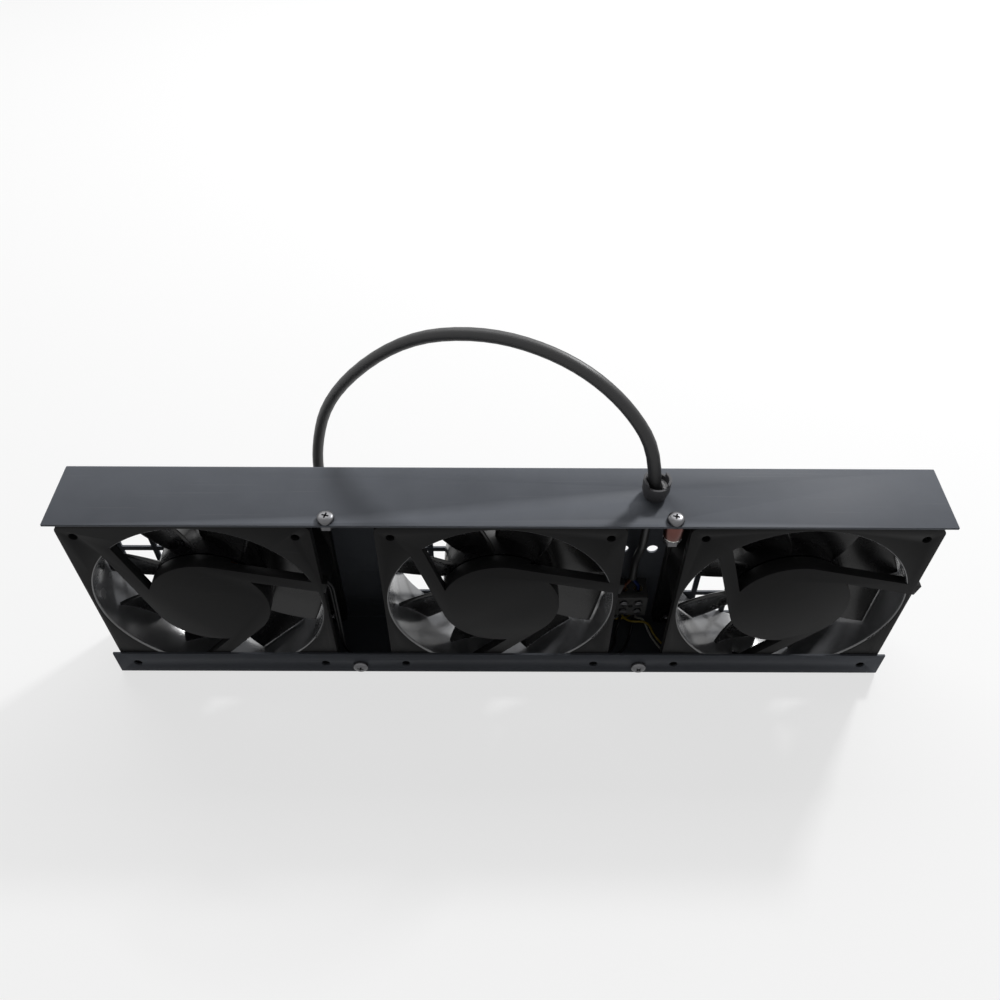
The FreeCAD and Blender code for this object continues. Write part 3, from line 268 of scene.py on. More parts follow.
# ---- finishes
@dataclass(frozen=True)
class Finish:
    """A surface finish: colour, gloss, grain and wear.

    Attributes:
        name: The material's name.
        slot: The record's material slot; not used.
        colour: Linear base colour.
        roughness: Mean roughness.
        metallic: 1 for bare metal.
        specular: Specular level.
        grain_scale: How fine the grain is.
        grain_stretch: How far the grain is drawn out across X.
        grain_depth: Height of the grain in metres.
        tone_spread: How much the colour varies.
        gloss_spread: How much the roughness varies.
        wear: How rubbed the edges are.
        worn_colour: The colour under a rubbed edge.
        scuffs: How scratched the faces are.
        coat: Weight of the clear layer on top.
    """

    name: str
    slot: str
    colour: Colour
    roughness: float = 0.5
    metallic: float = 0.0
    specular: float = 0.5
    grain_scale: float = 900.0
    grain_stretch: float = 1.0
    grain_depth: float = 0.00002
    tone_spread: float = 0.25
    gloss_spread: float = 0.15
    wear: float = 0.0
    worn_colour: Colour = (0.2, 0.2, 0.2)
    scuffs: float = 0.0
    coat: float = 0.0

    def pattern(self, tree: NodeTree) -> Value:
        """Return the coordinates that the finish's patterns follow."""
        return tree.get("ShaderNodeTexCoord", output="Object")

    def base(self, tree: NodeTree, where: Value, tone: Value) -> Value:
        """Return the colour before wear, a little lighter and darker with the tone."""
        dark = tuple(part * (1.0 - self.tone_spread) for part in self.colour)
        light = tuple(part * (1.0 + self.tone_spread) for part in self.colour)
        return self.mixed(tree, tone, (*dark, 1.0), (*light, 1.0))

    @staticmethod
    def mixed(tree: NodeTree, share: Feed, first: Feed, second: Feed) -> Value:
        """Mix two colours by a share."""
        node = tree.add("ShaderNodeMix", data_type="RGBA", clamp_factor=True)
        for number, source in ((0, share), (6, first), (7, second)):
            tree.feed(node.inputs[number], source)
        return Value(tree, node.outputs[2])

    @staticmethod
    def mask(tree: NodeTree, group: bpy.types.NodeTree, where: Value, amount: float) -> Value:
        """Place a group that gives a mask."""
        return tree.get("ShaderNodeGroup", {"Vector": where, "Amount": amount}, "Mask",
                        node_tree=group)

    def material(self) -> bpy.types.Material:
        """Build the material, once.

        Returns:
            The material of this name.
        """
        known = bpy.data.materials.get(self.name)
        if known is not None:
            return known
        material = bpy.data.materials.new(self.name)
        tree = NodeTree.cleared(material)
        where = self.pattern(tree)
        grain = tree.add("ShaderNodeGroup", node_tree=GRAIN, feeds={
            "Vector": where, "Scale": self.grain_scale, "Stretch": self.grain_stretch})
        tone = Value(tree, grain.outputs["Tone"])
        colour = self.base(tree, where, tone)
        rough = tone * self.gloss_spread + (self.roughness - self.gloss_spread / 2)
        if self.wear:
            mask = self.mask(tree, WEAR, where, self.wear)
            colour = self.mixed(tree, mask, colour, (*self.worn_colour, 1.0))
        if self.scuffs:
            mask = self.mask(tree, SCUFF, where, self.scuffs)
            colour = self.mixed(tree, mask, colour, (*self.worn_colour, 1.0))
            rough = rough + mask * 0.2
        height = self.relief(tree, where, Value(tree, grain.outputs["Height"]))
        bump = tree.get("ShaderNodeBump", {"Height": height, "Distance": self.grain_depth})
        shader = tree.get("ShaderNodeBsdfPrincipled", {
            "Base Color": colour, "Roughness": rough, "Normal": bump, "Metallic": self.metallic,
            "Specular IOR Level": self.specular, "Coat Weight": self.coat, "Coat Roughness": 0.15})
        tree.add("ShaderNodeOutputMaterial", {"Surface": shader})
        return material

    def relief(self, tree: NodeTree, where: Value, height: Value) -> Value:
        """Return the height that the bump follows."""
        return height


@dataclass(frozen=True)
class DrawnFinish(Finish):
    """Drawn stock, whose patterns follow the piece's own length and girth."""

    def pattern(self, tree: NodeTree) -> Value:
        """Follow the piece's own UV map."""
        return tree.get("ShaderNodeTexCoord", output="UV")


@dataclass(frozen=True)
class StripedFinish(Finish):
    """Insulation with a second colour in stripes along X."""

    stripe_colour: Colour = (0.1, 0.35, 0.06)
    stripe_pitch: float = 0.006

    def base(self, tree: NodeTree, where: Value, tone: Value) -> Value:
        """Alternate the two colours."""
        plain = super().base(tree, where, tone)
        wave = tree.get("ShaderNodeTexWave", {
            "Vector": where, "Scale": 0.5 / self.stripe_pitch, "Distortion": 0.0}, output=1,
            bands_direction="DIAGONAL")
        stripes = tree.math("GREATER_THAN", wave, 0.5)
        return self.mixed(tree, stripes, plain, (*self.stripe_colour, 1.0))


@dataclass(frozen=True)
class WovenFinish(Finish):
    """Hook-and-loop strap: a woven face with crossing threads."""

    thread: float = 0.0007

    def relief(self, tree: NodeTree, where: Value, height: Value) -> Value:
        """Cross two sets of threads."""
        total = height * 0.4
        for direction in ("X", "Z"):
            total = total + tree.get("ShaderNodeTexWave", {
                "Vector": where, "Scale": 0.3 / self.thread, "Distortion": 0.6}, output=1,
                bands_direction=direction) * 0.5
        return total


CHANNEL_PAINT = Finish(
    "channel_paint", "panel_paint", (0.108, 0.116, 0.132), roughness=0.5, specular=0.06,
    grain_scale=1400.0, grain_depth=0.00001, tone_spread=0.12, gloss_spread=0.12, wear=0.45,
    worn_colour=(0.24, 0.25, 0.26), scuffs=0.2)
CAST_PAINT = Finish(
    "fan_frame_paint", "fan_casting", (0.018, 0.018, 0.0185), roughness=0.45, specular=0.08,
    grain_scale=1800.0, grain_depth=0.00002, tone_spread=0.2, wear=0.3,
    worn_colour=(0.07, 0.07, 0.075), scuffs=0.1)
# Painted light: the duct wall's light grey stands in for the lamps' light and reflection on the
# black casting paint.
DUCT_PAINTED_REFLECTION = Finish(
    "duct_painted_reflection", "fan_casting", (0.14, 0.143, 0.15), roughness=0.24, specular=0.9,
    grain_scale=1200.0, grain_depth=0.00001, tone_spread=0.3, coat=0.5)
BLADE_PLASTIC = Finish(
    "impeller_plastic", "rotor_plastic", (0.009, 0.009, 0.0095), roughness=0.26, specular=0.35,
    coat=0.1, grain_scale=2200.0, grain_depth=0.000008, tone_spread=0.15, scuffs=0.06,
    worn_colour=(0.05, 0.05, 0.05))
CUP_STEEL = Finish(
    "rotor_cup_steel", "rotor_steel", (0.42, 0.42, 0.43), roughness=0.35, metallic=1.0,
    grain_scale=3000.0, grain_stretch=0.05)
SHAFT_STEEL = Finish(
    "shaft_steel", "shaft_steel", (0.7, 0.7, 0.71), roughness=0.15, metallic=1.0,
    grain_depth=0.000004)
BEARING_STEEL = Finish(
    "bearing_steel", "bearing_steel", (0.62, 0.62, 0.64), roughness=0.22, metallic=1.0)
CORE_STEEL = Finish(
    "core_laminations", "core_steel", (0.2, 0.21, 0.23), roughness=0.45, metallic=1.0,
    grain_scale=6000.0, grain_stretch=0.02, grain_depth=0.00004)
COPPER = Finish(
    "winding_copper", "winding_copper", (0.5, 0.17, 0.05), roughness=0.3, metallic=1.0, coat=0.4)
SCREW_STEEL = Finish(
    "screw_blackened", "screw_steel", (0.12, 0.12, 0.125), roughness=0.36, metallic=1.0,
    grain_scale=4000.0, grain_depth=0.00001, tone_spread=0.3, gloss_spread=0.25)
SPACER_BROWN = Finish(
    "spacer_brown", "spacer_brown", (0.012, 0.005, 0.004), roughness=0.5, specular=0.2,
    grain_scale=2600.0)
TINNED = Finish("ring_tin", "tinned_copper", (0.6, 0.59, 0.56), roughness=0.3, metallic=1.0)
CLAMP_BRASS = Finish("clamp_brass", "clamp_brass", (0.55, 0.38, 0.12), roughness=0.3, metallic=1.0)
BLOCK_NYLON = Finish(
    "block_nylon", "block_nylon", (0.01, 0.01, 0.0105), roughness=0.55, specular=0.25,
    grain_scale=2500.0, wear=0.1, worn_colour=(0.03, 0.03, 0.03))
GLAND_NYLON = Finish(
    "gland_nylon", "gland_nylon", (0.014, 0.014, 0.015), roughness=0.45, grain_scale=2500.0,
    wear=0.25, worn_colour=(0.06, 0.06, 0.06))
WEDGE_NYLON = Finish(
    "wedge_nylon", "wedge_nylon", (0.3, 0.3, 0.3), roughness=0.5, grain_scale=2500.0)
CORD_RUBBER = DrawnFinish(
    "cord_jacket", "cord_pvc", (0.017, 0.017, 0.018), roughness=0.46, specular=0.5,
    grain_scale=300.0, grain_depth=0.00004, tone_spread=0.12)
MOULDED_PVC = Finish(
    "plug_pvc", "cord_pvc", (0.018, 0.018, 0.019), roughness=0.5, grain_scale=2200.0,
    grain_depth=0.00004, wear=0.15, worn_colour=(0.05, 0.05, 0.05))
SLEEVE_PVC = Finish("sleeve_pvc", "cord_pvc", (0.02, 0.02, 0.021), roughness=0.5)
LEAD_YELLOW = Finish("lead_yellow", "lead_pvc", (0.42, 0.31, 0.03), roughness=0.42)
LEAD_WHITE = Finish("lead_white", "lead_pvc", (0.45, 0.45, 0.42), roughness=0.42)
LEAD_BLACK = Finish("lead_black", "lead_pvc", (0.01, 0.01, 0.011), roughness=0.5, specular=0.2)
LIVE_PVC = Finish("live_brown", "live_pvc", (0.07, 0.022, 0.01), roughness=0.5, specular=0.25)
NEUTRAL_PVC = Finish(
    "neutral_blue", "neutral_pvc", (0.008, 0.02, 0.1), roughness=0.5, specular=0.25)
EARTH_PVC = StripedFinish("earth_striped", "earth_pvc", (0.42, 0.36, 0.03), roughness=0.42)
STRAP_WEAVE = WovenFinish(
    "strap_weave", "tie_nylon", (0.014, 0.014, 0.015), roughness=0.85, specular=0.2,
    grain_depth=0.0002)
PIN_BRASS = Finish(
    "pin_brass", "pin_brass", (0.62, 0.47, 0.2), roughness=0.25, metallic=1.0, grain_scale=3000.0,
    grain_stretch=0.1)


# ---- meshes
MERGE_DISTANCE = 0.000002
FLAT_ANGLE = math.radians(0.4)
SMOOTH_ANGLE = math.radians(32.0)


def new_object(name: str, data: bpy.types.ID) -> bpy.types.Object:
    """Add an object that holds some data to the scene."""
    made = bpy.data.objects.new(name, data)
    bpy.context.scene.collection.objects.link(made)
    return made


def smooth(mesh: bpy.types.Mesh, angle: float = SMOOTH_ANGLE) -> None:
    """Shade a mesh smooth, with sharp edges where its faces turn by more than an angle."""
    mesh.polygons.foreach_set("use_smooth", [True] * len(mesh.polygons))
    mesh.set_sharp_from_angle(angle=angle)


def bake_modifiers(piece: bpy.types.Object) -> None:
    """Turn an object's modifiers into its plain mesh, and remove them."""
    bpy.context.view_layer.update()
    graph = bpy.context.evaluated_depsgraph_get()
    result = bpy.data.meshes.new_from_object(piece.evaluated_get(graph), depsgraph=graph)
    piece.modifiers.clear()
    piece.data = result


def face_outward(mesh: bpy.types.Mesh) -> None:
    """Merge a mesh's doubles and make its faces point outward."""
    work = bmesh.new()
    work.from_mesh(mesh)
    bmesh.ops.remove_doubles(work, verts=work.verts, dist=MERGE_DISTANCE)
    bmesh.ops.recalc_face_normals(work, faces=work.faces)
    work.to_mesh(mesh)
    work.free()


def round_edges(piece: bpy.types.Object, width: float, segments: int = 2,
                angle: float = 35.0) -> None:
    """Give an object's sharp edges a small round."""
    bevel = piece.modifiers.new("rounds", "BEVEL")
    bevel.width = width
    bevel.segments = segments
    bevel.limit_method = "ANGLE"
    bevel.angle_limit = math.radians(angle)
    bevel.use_clamp_overlap = True
    bevel.harden_normals = False


def merged_copy(node: str) -> bpy.types.Mesh:
    """Copy a CAD node's mesh with its triangles joined into whole faces."""
    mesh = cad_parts[node].data.copy()
    work = bmesh.new()
    work.from_mesh(mesh)
    bmesh.ops.remove_doubles(work, verts=work.verts, dist=MERGE_DISTANCE)
    bmesh.ops.dissolve_limit(work, angle_limit=FLAT_ANGLE, verts=work.verts, edges=work.edges)
    work.to_mesh(mesh)
    work.free()
    mesh.materials.clear()
    return mesh


def islands(mesh: bpy.types.Mesh) -> list[list[int]]:
    """Return the face numbers of each separate solid of a merged mesh, from low X to high X."""
    work = bmesh.new()
    work.from_mesh(mesh)
    seen: set[int] = set()
    found: list[tuple[float, list[int]]] = []
    work.faces.ensure_lookup_table()
    for first in work.faces:
        if first.index in seen:
            continue
        stack, group = [first], []
        seen.add(first.index)
        while stack:
            face = stack.pop()
            group.append(face.index)
            for edge in face.edges:
                for other in edge.link_faces:
                    if other.index not in seen:
                        seen.add(other.index)
                        stack.append(other)
        found.append((min(work.faces[n].calc_center_median().x for n in group), group))
    work.free()
    return [group for _, group in sorted(found)]


def solid_boxes(node: str) -> list[tuple[Vector, Vector]]:
    """Return the lowest and highest corner of each separate solid of a CAD node."""
    mesh = merged_copy(node)
    boxes = []
    for group in islands(mesh):
        corners = [mesh.vertices[n].co for face in group for n in mesh.polygons[face].vertices]
        boxes.append((Vector(map(min, *corners)), Vector(map(max, *corners))))
    bpy.data.meshes.remove(mesh)
    return boxes


def lathe(profile: Sequence[tuple[float, float]], steps: int = 64) -> bpy.types.Mesh:
    """Turn an outline about Z.

    Args:
        profile: (radius, height) pairs, closed on itself or with both ends on the axis.
        steps: How many flats make the round.

    Returns:
        A closed mesh with outward faces.
    """
    work = bmesh.new()
    rings = []
    for radius, height in profile:
        turns = [0.0] if radius < MERGE_DISTANCE else [math.tau * n / steps for n in range(steps)]
        rings.append([work.verts.new((radius * math.cos(turn), radius * math.sin(turn), height))
                      for turn in turns])
    closed = len(rings[0]) > 1 and len(rings[-1]) > 1
    pairs = list(zip(rings, rings[1:])) + ([(rings[-1], rings[0])] if closed else [])
    for low, high in pairs:
        for n in range(steps):
            corners = [low[n % len(low)], low[(n + 1) % len(low)],
                       high[(n + 1) % len(high)], high[n % len(high)]]
            corners = list(dict.fromkeys(corners))
            if len(corners) > 2:
                work.faces.new(corners)
    bmesh.ops.recalc_face_normals(work, faces=work.faces)
    mesh = bpy.data.meshes.new("turned")
    work.to_mesh(mesh)
    work.free()
    return mesh


# ---- geometry trees
def blade_ring_tree() -> bpy.types.NodeTree:
    """Build the ring of swept, twisted blades round a hub.

    Returns:
        A geometry tree that takes the hub's mesh and the blades' sizes.
    """
    made = NodeTree.group("blade_ring", "GeometryNodeTree")
    hub = made.takes("Hub", "Geometry")
    count = made.takes("Blades", "Int", 8)
    root, tip, hub_radius = (made.takes(name, "Float") for name in ("Root", "Tip", "Hub radius"))
    phase, sweep, root_wrap, tip_wrap = (
        made.takes(name, "Float") for name in ("Phase", "Sweep", "Root wrap", "Tip wrap"))
    front, rear = (made.takes(name, "Float") for name in ("Front", "Rear"))
    camber, thick = (made.takes(name, "Float") for name in ("Camber", "Thickness"))
    centre, axis_height = (made.takes(name, "Float") for name in ("Centre", "Axis height"))
    finish = made.takes("Finish", "Material")
    sheet = made.get("GeometryNodeMeshGrid", {
        "Size X": 2.0, "Size Y": 1.0, "Vertices X": 15, "Vertices Y": 15}, output="Mesh")
    spot = made.add("ShaderNodeSeparateXYZ", {0: made.get("GeometryNodeInputPosition")})
    across, along = Value(made, spot.outputs["X"]), Value(made, spot.outputs["Y"]) + 0.5
    reach = root + (tip - root) * along
    lean = across * (root_wrap + (tip_wrap - root_wrap) * along) / 2.0
    radius = reach / made.math("SQRT", lean * lean + 1.0)
    share = (radius - hub_radius) / (tip - hub_radius)
    wrap = root_wrap + (tip_wrap - root_wrap) * share
    turn = phase - sweep * share - wrap / 2.0
    half = radius * wrap / 2.0
    fall = rear + thick - front
    chord = made.math("SQRT", half * half * 4.0 + fall * fall)
    bow = camber * (1.0 - across * across) / chord
    side = across * half - fall * bow
    height = front + (across + 1.0) / 2.0 * fall + half * 2.0 * bow
    radius = made.math("SQRT", reach * reach - side * side)
    cosine, sine = made.math("COSINE", turn), made.math("SINE", turn)
    point = made.get("ShaderNodeCombineXYZ", {
        "X": radius * cosine - side * sine, "Y": radius * sine + side * cosine, "Z": height})
    face = made.get("GeometryNodeSetPosition", {"Geometry": sheet, "Position": point})
    raised = made.get("GeometryNodeExtrudeMesh", {
        "Mesh": face, "Offset": (0.0, 0.0, -1.0), "Offset Scale": thick, "Individual": False})
    solid = made.get("GeometryNodeMergeByDistance", {
        "Geometry": made.joined(raised, face), "Distance": MERGE_DISTANCE})
    step = made.get("GeometryNodeInputIndex") * math.tau / count
    spin = made.get("ShaderNodeCombineXYZ", {"Z": step})
    ring = made.get("GeometryNodeInstanceOnPoints", {
        "Points": made.get("GeometryNodePoints", {"Count": count}), "Instance": solid,
        "Rotation": spin})
    place = made.get("ShaderNodeCombineXYZ", {"X": centre, "Z": axis_height})
    moved = made.get("GeometryNodeTransform", {
        "Geometry": made.get("GeometryNodeRealizeInstances", {0: made.joined(ring, hub)}),
        "Translation": place, "Rotation": (math.radians(-90.0), 0.0, 0.0)})
    made.gives("Geometry", "Geometry", made.get("GeometryNodeSetMaterial", {
        "Geometry": moved, "Material": finish}))
    return made.tree


def scatter_tree() -> bpy.types.NodeTree:
    """Build the tree that sets a copy of one piece on every vertex, along its axis attribute.

    Returns:
        A geometry tree that takes the points, the piece and a finish.
    """
    made = NodeTree.group("copies_on_points", "GeometryNodeTree")
    points = made.takes("Points", "Geometry")
    piece = made.takes("Piece", "Object")
    finish = made.takes("Finish", "Material")
    axis = made.get("GeometryNodeInputNamedAttribute", {"Name": "axis"}, data_type="FLOAT_VECTOR")
    aim = made.get("FunctionNodeAlignRotationToVector", {"Vector": axis}, axis="Z")
    spin = made.get("FunctionNodeRandomValue", {"Min": 0.0, "Max": math.tau, "Seed": 4}, output=1,
                    data_type="FLOAT")
    turned = made.get("FunctionNodeRotateRotation", {
        "Rotation": aim,
        "Rotate By": made.get("ShaderNodeCombineXYZ", {"Z": spin})}, rotation_space="LOCAL")
    shape = made.get("GeometryNodeObjectInfo", {"Object": piece}, output="Geometry")
    copies = made.get("GeometryNodeInstanceOnPoints", {
        "Points": points, "Instance": shape, "Rotation": turned})
    whole = made.get("GeometryNodeRealizeInstances", {"Geometry": copies})
    made.gives("Geometry", "Geometry", made.get("GeometryNodeSetMaterial", {
        "Geometry": whole, "Material": finish}))
    return made.tree


BLADE_RING = blade_ring_tree()
SCATTER = scatter_tree()


def add_tree(piece: bpy.types.Object, tree: bpy.types.NodeTree, inputs: dict[str, object]) -> None:
    """Give an object a geometry tree and set its inputs by their names."""
    modifier = piece.modifiers.new(tree.name, "NODES")
    modifier.node_group = tree
    for item in tree.interface.items_tree:
        if item.in_out == "INPUT" and item.name in inputs:
            modifier[item.identifier] = inputs[item.name]


def scatter(name: str, master: bpy.types.Mesh, places: Iterable[tuple[Vector, Vector]],
            finish: Finish) -> bpy.types.Object:
    """Set copies of a mesh at places.

    Args:
        name: The new piece's name.
        master: The mesh to copy, which stands on its origin along Z.
        places: The point and the axis of each copy.
        finish: The finish of all of them.

    Returns:
        One piece with a plain mesh.
    """
    spots = list(places)
    points = bpy.data.meshes.new(name)
    points.from_pydata([tuple(spot) for spot, _ in spots], [], [])
    attribute = points.attributes.new("axis", "FLOAT_VECTOR", "POINT")
    attribute.data.foreach_set("vector", [part for _, axis in spots for part in axis])
    piece = new_object(name, points)
    holder = bpy.data.objects.new(name + "_master", master)
    add_tree(piece, SCATTER, {"Piece": holder, "Finish": finish.material()})
    bake_modifiers(piece)
    bpy.data.objects.remove(holder)
    smooth(piece.data)
    return piece


# ---- pieces
@dataclass
class Assembly:
    """A group of pieces that belong together.

    Attributes:
        body: The body that the next piece rides on.
        made: The names of the finished pieces.
    """

    body: BodyName = field(default=BodyName.TRAY, kw_only=True)
    made: list[str] = field(default_factory=list, kw_only=True)

    def keep(self, piece: bpy.types.Object, finish: Finish,
             nodes: Sequence[str] = ()) -> bpy.types.Object:
        """Ride a new piece on the body, and let it stand for CAD nodes.

        Args:
            piece: The finished piece.
            finish: Its finish.
            nodes: The CAD nodes that it replaces.

        Returns:
            The piece.
        """
        if not piece.data.materials or piece.data.materials[0] is None:
            piece.data.materials.clear()
            piece.data.materials.append(finish.material())
        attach(piece, self.body.value)
        if nodes:
            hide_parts(*nodes)
        self.made.append(piece.name)
        return piece

    def paint(self, node: str, finish: Finish) -> None:
        """Give a CAD node that keeps its own shape a finish."""
        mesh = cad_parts[node].data
        mesh.materials.clear()
        mesh.materials.append(finish.material())
        self.made.append(node)

    def refine(self, node: str, name: str, finish: Finish, width: float) -> bpy.types.Object:
        """Replace a CAD node by a copy whose edges are rounded.

        Args:
            node: The CAD node.
            name: The new piece's name.
            finish: Its finish.
            width: The round's width.

        Returns:
            The new piece.
        """
        piece = new_object(name, merged_copy(node))
        round_edges(piece, width)
        bake_modifiers(piece)
        smooth(piece.data)
        return self.keep(piece, finish, [node])

    def build(self) -> None:
        """Make and dress the pieces."""
        raise NotImplementedError


@dataclass
class Channel(Assembly):
    """Folded sheet channel.

    Attributes:
        edge_round: Round of the sheet's cut edges.
    """

    edge_round: float = 0.25 * MM

    def build(self) -> None:
        """Round the sheet's cut edges and paint it."""
        self.refine("chassis_channel", "channel", CHANNEL_PAINT, self.edge_round)


BLADE_EDGE_DEGREES = 50.0
BLADE_SMOOTH_ANGLE = math.radians(40.0)
FACES_AXIS = -0.5


@dataclass
class Fan(Assembly):
    """One axial fan: casting, impeller and motor.

    Attributes:
        name: Which fan it is.
        rotor: The body that its rotor rides on.
        centre: The fan's place along X.
        axis_height: The height of its axis.
        blades: How many blades it has.
        hub_radius: Outer radius of the hub.
        hub_front: Height of the hub's closed face above the fan's middle.
        hub_length: Depth of the hub.
        hub_wall: Wall of the hub.
        hub_edge: Round of the hub's front edge.
        tip_radius: Radius of the blades' tips.
        duct_edge: How far out the duct's flared wall reaches.
        front: The blades' far ends.
        rear: The blades' ends on the strut side.
        phase: Angle of the first blade's near root, in degrees.
        sweep: How far a blade's near edge leans back from root to tip, in degrees.
        root_wrap: The angle that a blade covers at the hub, in degrees.
        tip_wrap: The angle that a blade covers at its tip, in degrees.
        camber: How far a blade bows.
        thickness: A blade's thickness along the axis.
        blade_round: Round of the blades' edges.
        casting_round: Round of the casting's edges.
    """

    name: str
    rotor: BodyName
    centre: float
    axis_height: float = 62.2 * MM
    blades: int = 8
    hub_radius: float = 30.0 * MM
    hub_front: float = 17.8 * MM
    hub_length: float = 27.3 * MM
    hub_wall: float = 1.8 * MM
    hub_edge: float = 1.5 * MM
    tip_radius: float = 56.7 * MM
    duct_edge: float = 60.0 * MM
    front: float = 4.2 * MM
    rear: float = -8.6 * MM
    phase: float = 40.2
    sweep: float = 10.4
    root_wrap: float = 45.8
    tip_wrap: float = 28.8
    camber: float = 2.5 * MM
    thickness: float = 1.8 * MM
    blade_round: float = 0.35 * MM
    casting_round: float = 0.3 * MM

    def hub(self) -> bpy.types.Mesh:
        """Turn the hub's cup, with a rounded front edge."""
        outer, inner = self.hub_radius, self.hub_radius - self.hub_wall
        front, rear = self.hub_front, self.hub_front - self.hub_length
        floor = front - self.hub_wall
        edge = self.hub_edge
        corner = [(outer - edge * (1.0 - math.sin(turn)), front - edge * (1.0 - math.cos(turn)))
                  for turn in (math.radians(15.0 * n) for n in range(7))]
        return lathe([(0.0, front), (outer * 0.5, front), *corner, (outer, rear), (inner, rear),
                      (inner, floor), (0.0, floor)], steps=96)

    def impeller(self) -> bpy.types.Object:
        """Set the blades round the hub."""
        piece = new_object(f"impeller_blades_{self.name}", self.hub())
        add_tree(piece, BLADE_RING, {
            "Blades": self.blades, "Root": self.hub_radius - self.hub_wall / 2,
            "Tip": self.tip_radius, "Hub radius": self.hub_radius,
            "Phase": math.radians(self.phase),
            "Sweep": math.radians(self.sweep), "Root wrap": math.radians(self.root_wrap),
            "Tip wrap": math.radians(self.tip_wrap), "Front": self.front, "Rear": self.rear,
            "Camber": self.camber, "Thickness": self.thickness, "Centre": self.centre,
            "Axis height": self.axis_height, "Finish": BLADE_PLASTIC.material()})
        bake_modifiers(piece)
        face_outward(piece.data)
        round_edges(piece, self.blade_round, angle=BLADE_EDGE_DEGREES)
        bake_modifiers(piece)
        smooth(piece.data, BLADE_SMOOTH_ANGLE)
        return piece

    def paint_duct_reflection(self, casting: bpy.types.Object) -> None:
        """Give the duct's wall a smoother paint, lighter than the casting's; the lighter grey is
        painted light and reflection of the lamps.

        Args:
            casting: The fan's casting.
        """
        casting.data.materials.append(DUCT_PAINTED_REFLECTION.material())
        for face in casting.data.polygons:
            out = Vector((face.center.x - self.centre, 0.0, face.center.z - self.axis_height))
            inward = out.normalized().dot(face.normal) < FACES_AXIS
            if self.tip_radius < out.length < self.duct_edge and inward:
                face.material_index = 1

    def build(self) -> None:
        """Build the casting, the impeller and the motor."""
        self.body = BodyName.TRAY
        self.paint_duct_reflection(self.refine(f"fan_frame_{self.name}", f"casting_{self.name}", CAST_PAINT,
                                     self.casting_round))
        self.paint(f"bearings_{self.name}", BEARING_STEEL)
        self.paint(f"stator_core_{self.name}", CORE_STEEL)
        self.paint(f"stator_winding_{self.name}", COPPER)
        self.body = self.rotor
        self.keep(self.impeller(), BLADE_PLASTIC, [f"impeller_{self.name}"])
        self.paint(f"rotor_cup_{self.name}", CUP_STEEL)
        self.paint(f"rotor_shaft_{self.name}", SHAFT_STEEL)


def screw_mesh(head_radius: float, head_height: float, thread_radius: float,
               length: float) -> bpy.types.Mesh:
    """Make a cross-recess pan-head screw.

    Args:
        head_radius: Radius of the head.
        head_height: Height of the head above Z = 0.
        thread_radius: Outer radius of the thread.
        length: Length of the shank below Z = 0.

    Returns:
        A mesh whose head points up.
    """
    pitch, depth, taper = 0.7 * MM, 0.3 * MM, 0.55
    dome = [(head_radius * math.sin(turn) ** 0.6, head_height * (0.45 + 0.55 * math.cos(turn)))
            for turn in (math.radians(15.0 * n) for n in range(1, 7))]
    thread = []
    count = int(length / pitch)
    for n in range(count):
        top = -n * pitch
        thread += [(thread_radius - depth, top - pitch * 0.05), (thread_radius, top - pitch * 0.5)]
    profile = [(0.0, head_height), *dome, (head_radius, 0.1 * MM), (head_radius - 0.1 * MM, 0.0),
               *thread, (thread_radius - depth, -length), (0.0, -length)]
    screw = new_object("screw_blank", lathe(profile, steps=32))
    arm, half, recess = head_radius * 0.55, head_height * 0.2, head_height * 0.6
    cutter = bmesh.new()
    for turn in (0.0, math.radians(90.0)):
        spin = Matrix.Rotation(turn, 4, "Z")
        lift = Matrix.Translation((0.0, 0.0, head_height))
        made = bmesh.ops.create_cube(cutter, size=1.0, matrix=spin @ lift @ Matrix.Diagonal(
            (arm * 2, half * 2, recess * 2, 1.0)))
        for corner in made["verts"]:
            if corner.co.z < head_height:
                corner.co.x *= taper
                corner.co.y *= taper
    tool_mesh = bpy.data.meshes.new("recess")
    cutter.to_mesh(tool_mesh)
    cutter.free()
    tool = new_object("recess", tool_mesh)
    cut = screw.modifiers.new("recess", "BOOLEAN")
    cut.object = tool
    cut.operation = "DIFFERENCE"
    cut.solver = "EXACT"
    cut.use_self = True
    bake_modifiers(screw)
    result = screw.data
    bpy.data.objects.remove(screw)
    bpy.data.objects.remove(tool)
    result.materials.clear()
    return result


@dataclass
class Fasteners(Assembly):
    """Every screw and nut that shows.

    Attributes:
        head_radius: Radius of the screw heads.
        head_height: Height of the screw heads.
        thread_radius: Outer radius of the threads.
        nut_round: Round of the nuts' edges.
    """

    head_radius: float = 4.1 * MM
    head_height: float = 2.8 * MM
    thread_radius: float = 2.0 * MM
    nut_round: float = 0.3 * MM

    def screws(self, node: str, axis: Point) -> None:
        """Replace a node of pan-head screws.

        Args:
            node: The CAD node.
            axis: The direction that the heads face.
        """
        way = Vector(axis)
        places = []
        for low, high in solid_boxes(node):
            middle, half = (low + high) / 2, (high - low) / 2
            top = middle + way * abs(half.dot(way))
            places.append((top - way * self.head_height, way))
            length = 2 * abs(half.dot(way)) - self.head_height
        master = screw_mesh(self.head_radius, self.head_height, self.thread_radius, length)
        self.keep(scatter(f"{node}_heads", master, places, SCREW_STEEL), SCREW_STEEL, [node])

    def build(self) -> None:
        """Make the screws, and round the nuts."""
        back, front, up = (0.0, 1.0, 0.0), (0.0, -1.0, 0.0), (0.0, 0.0, 1.0)
        for node, axis in (("fan_screws", back), ("lip_screws", front), ("panel_screw", up),
                           ("earth_screw", up)):
            self.screws(node, axis)
        for node in ("fan_nuts", "lip_nuts", "panel_nut", "earth_nut"):
            self.refine(node, f"{node}_hex", SCREW_STEEL, self.nut_round)


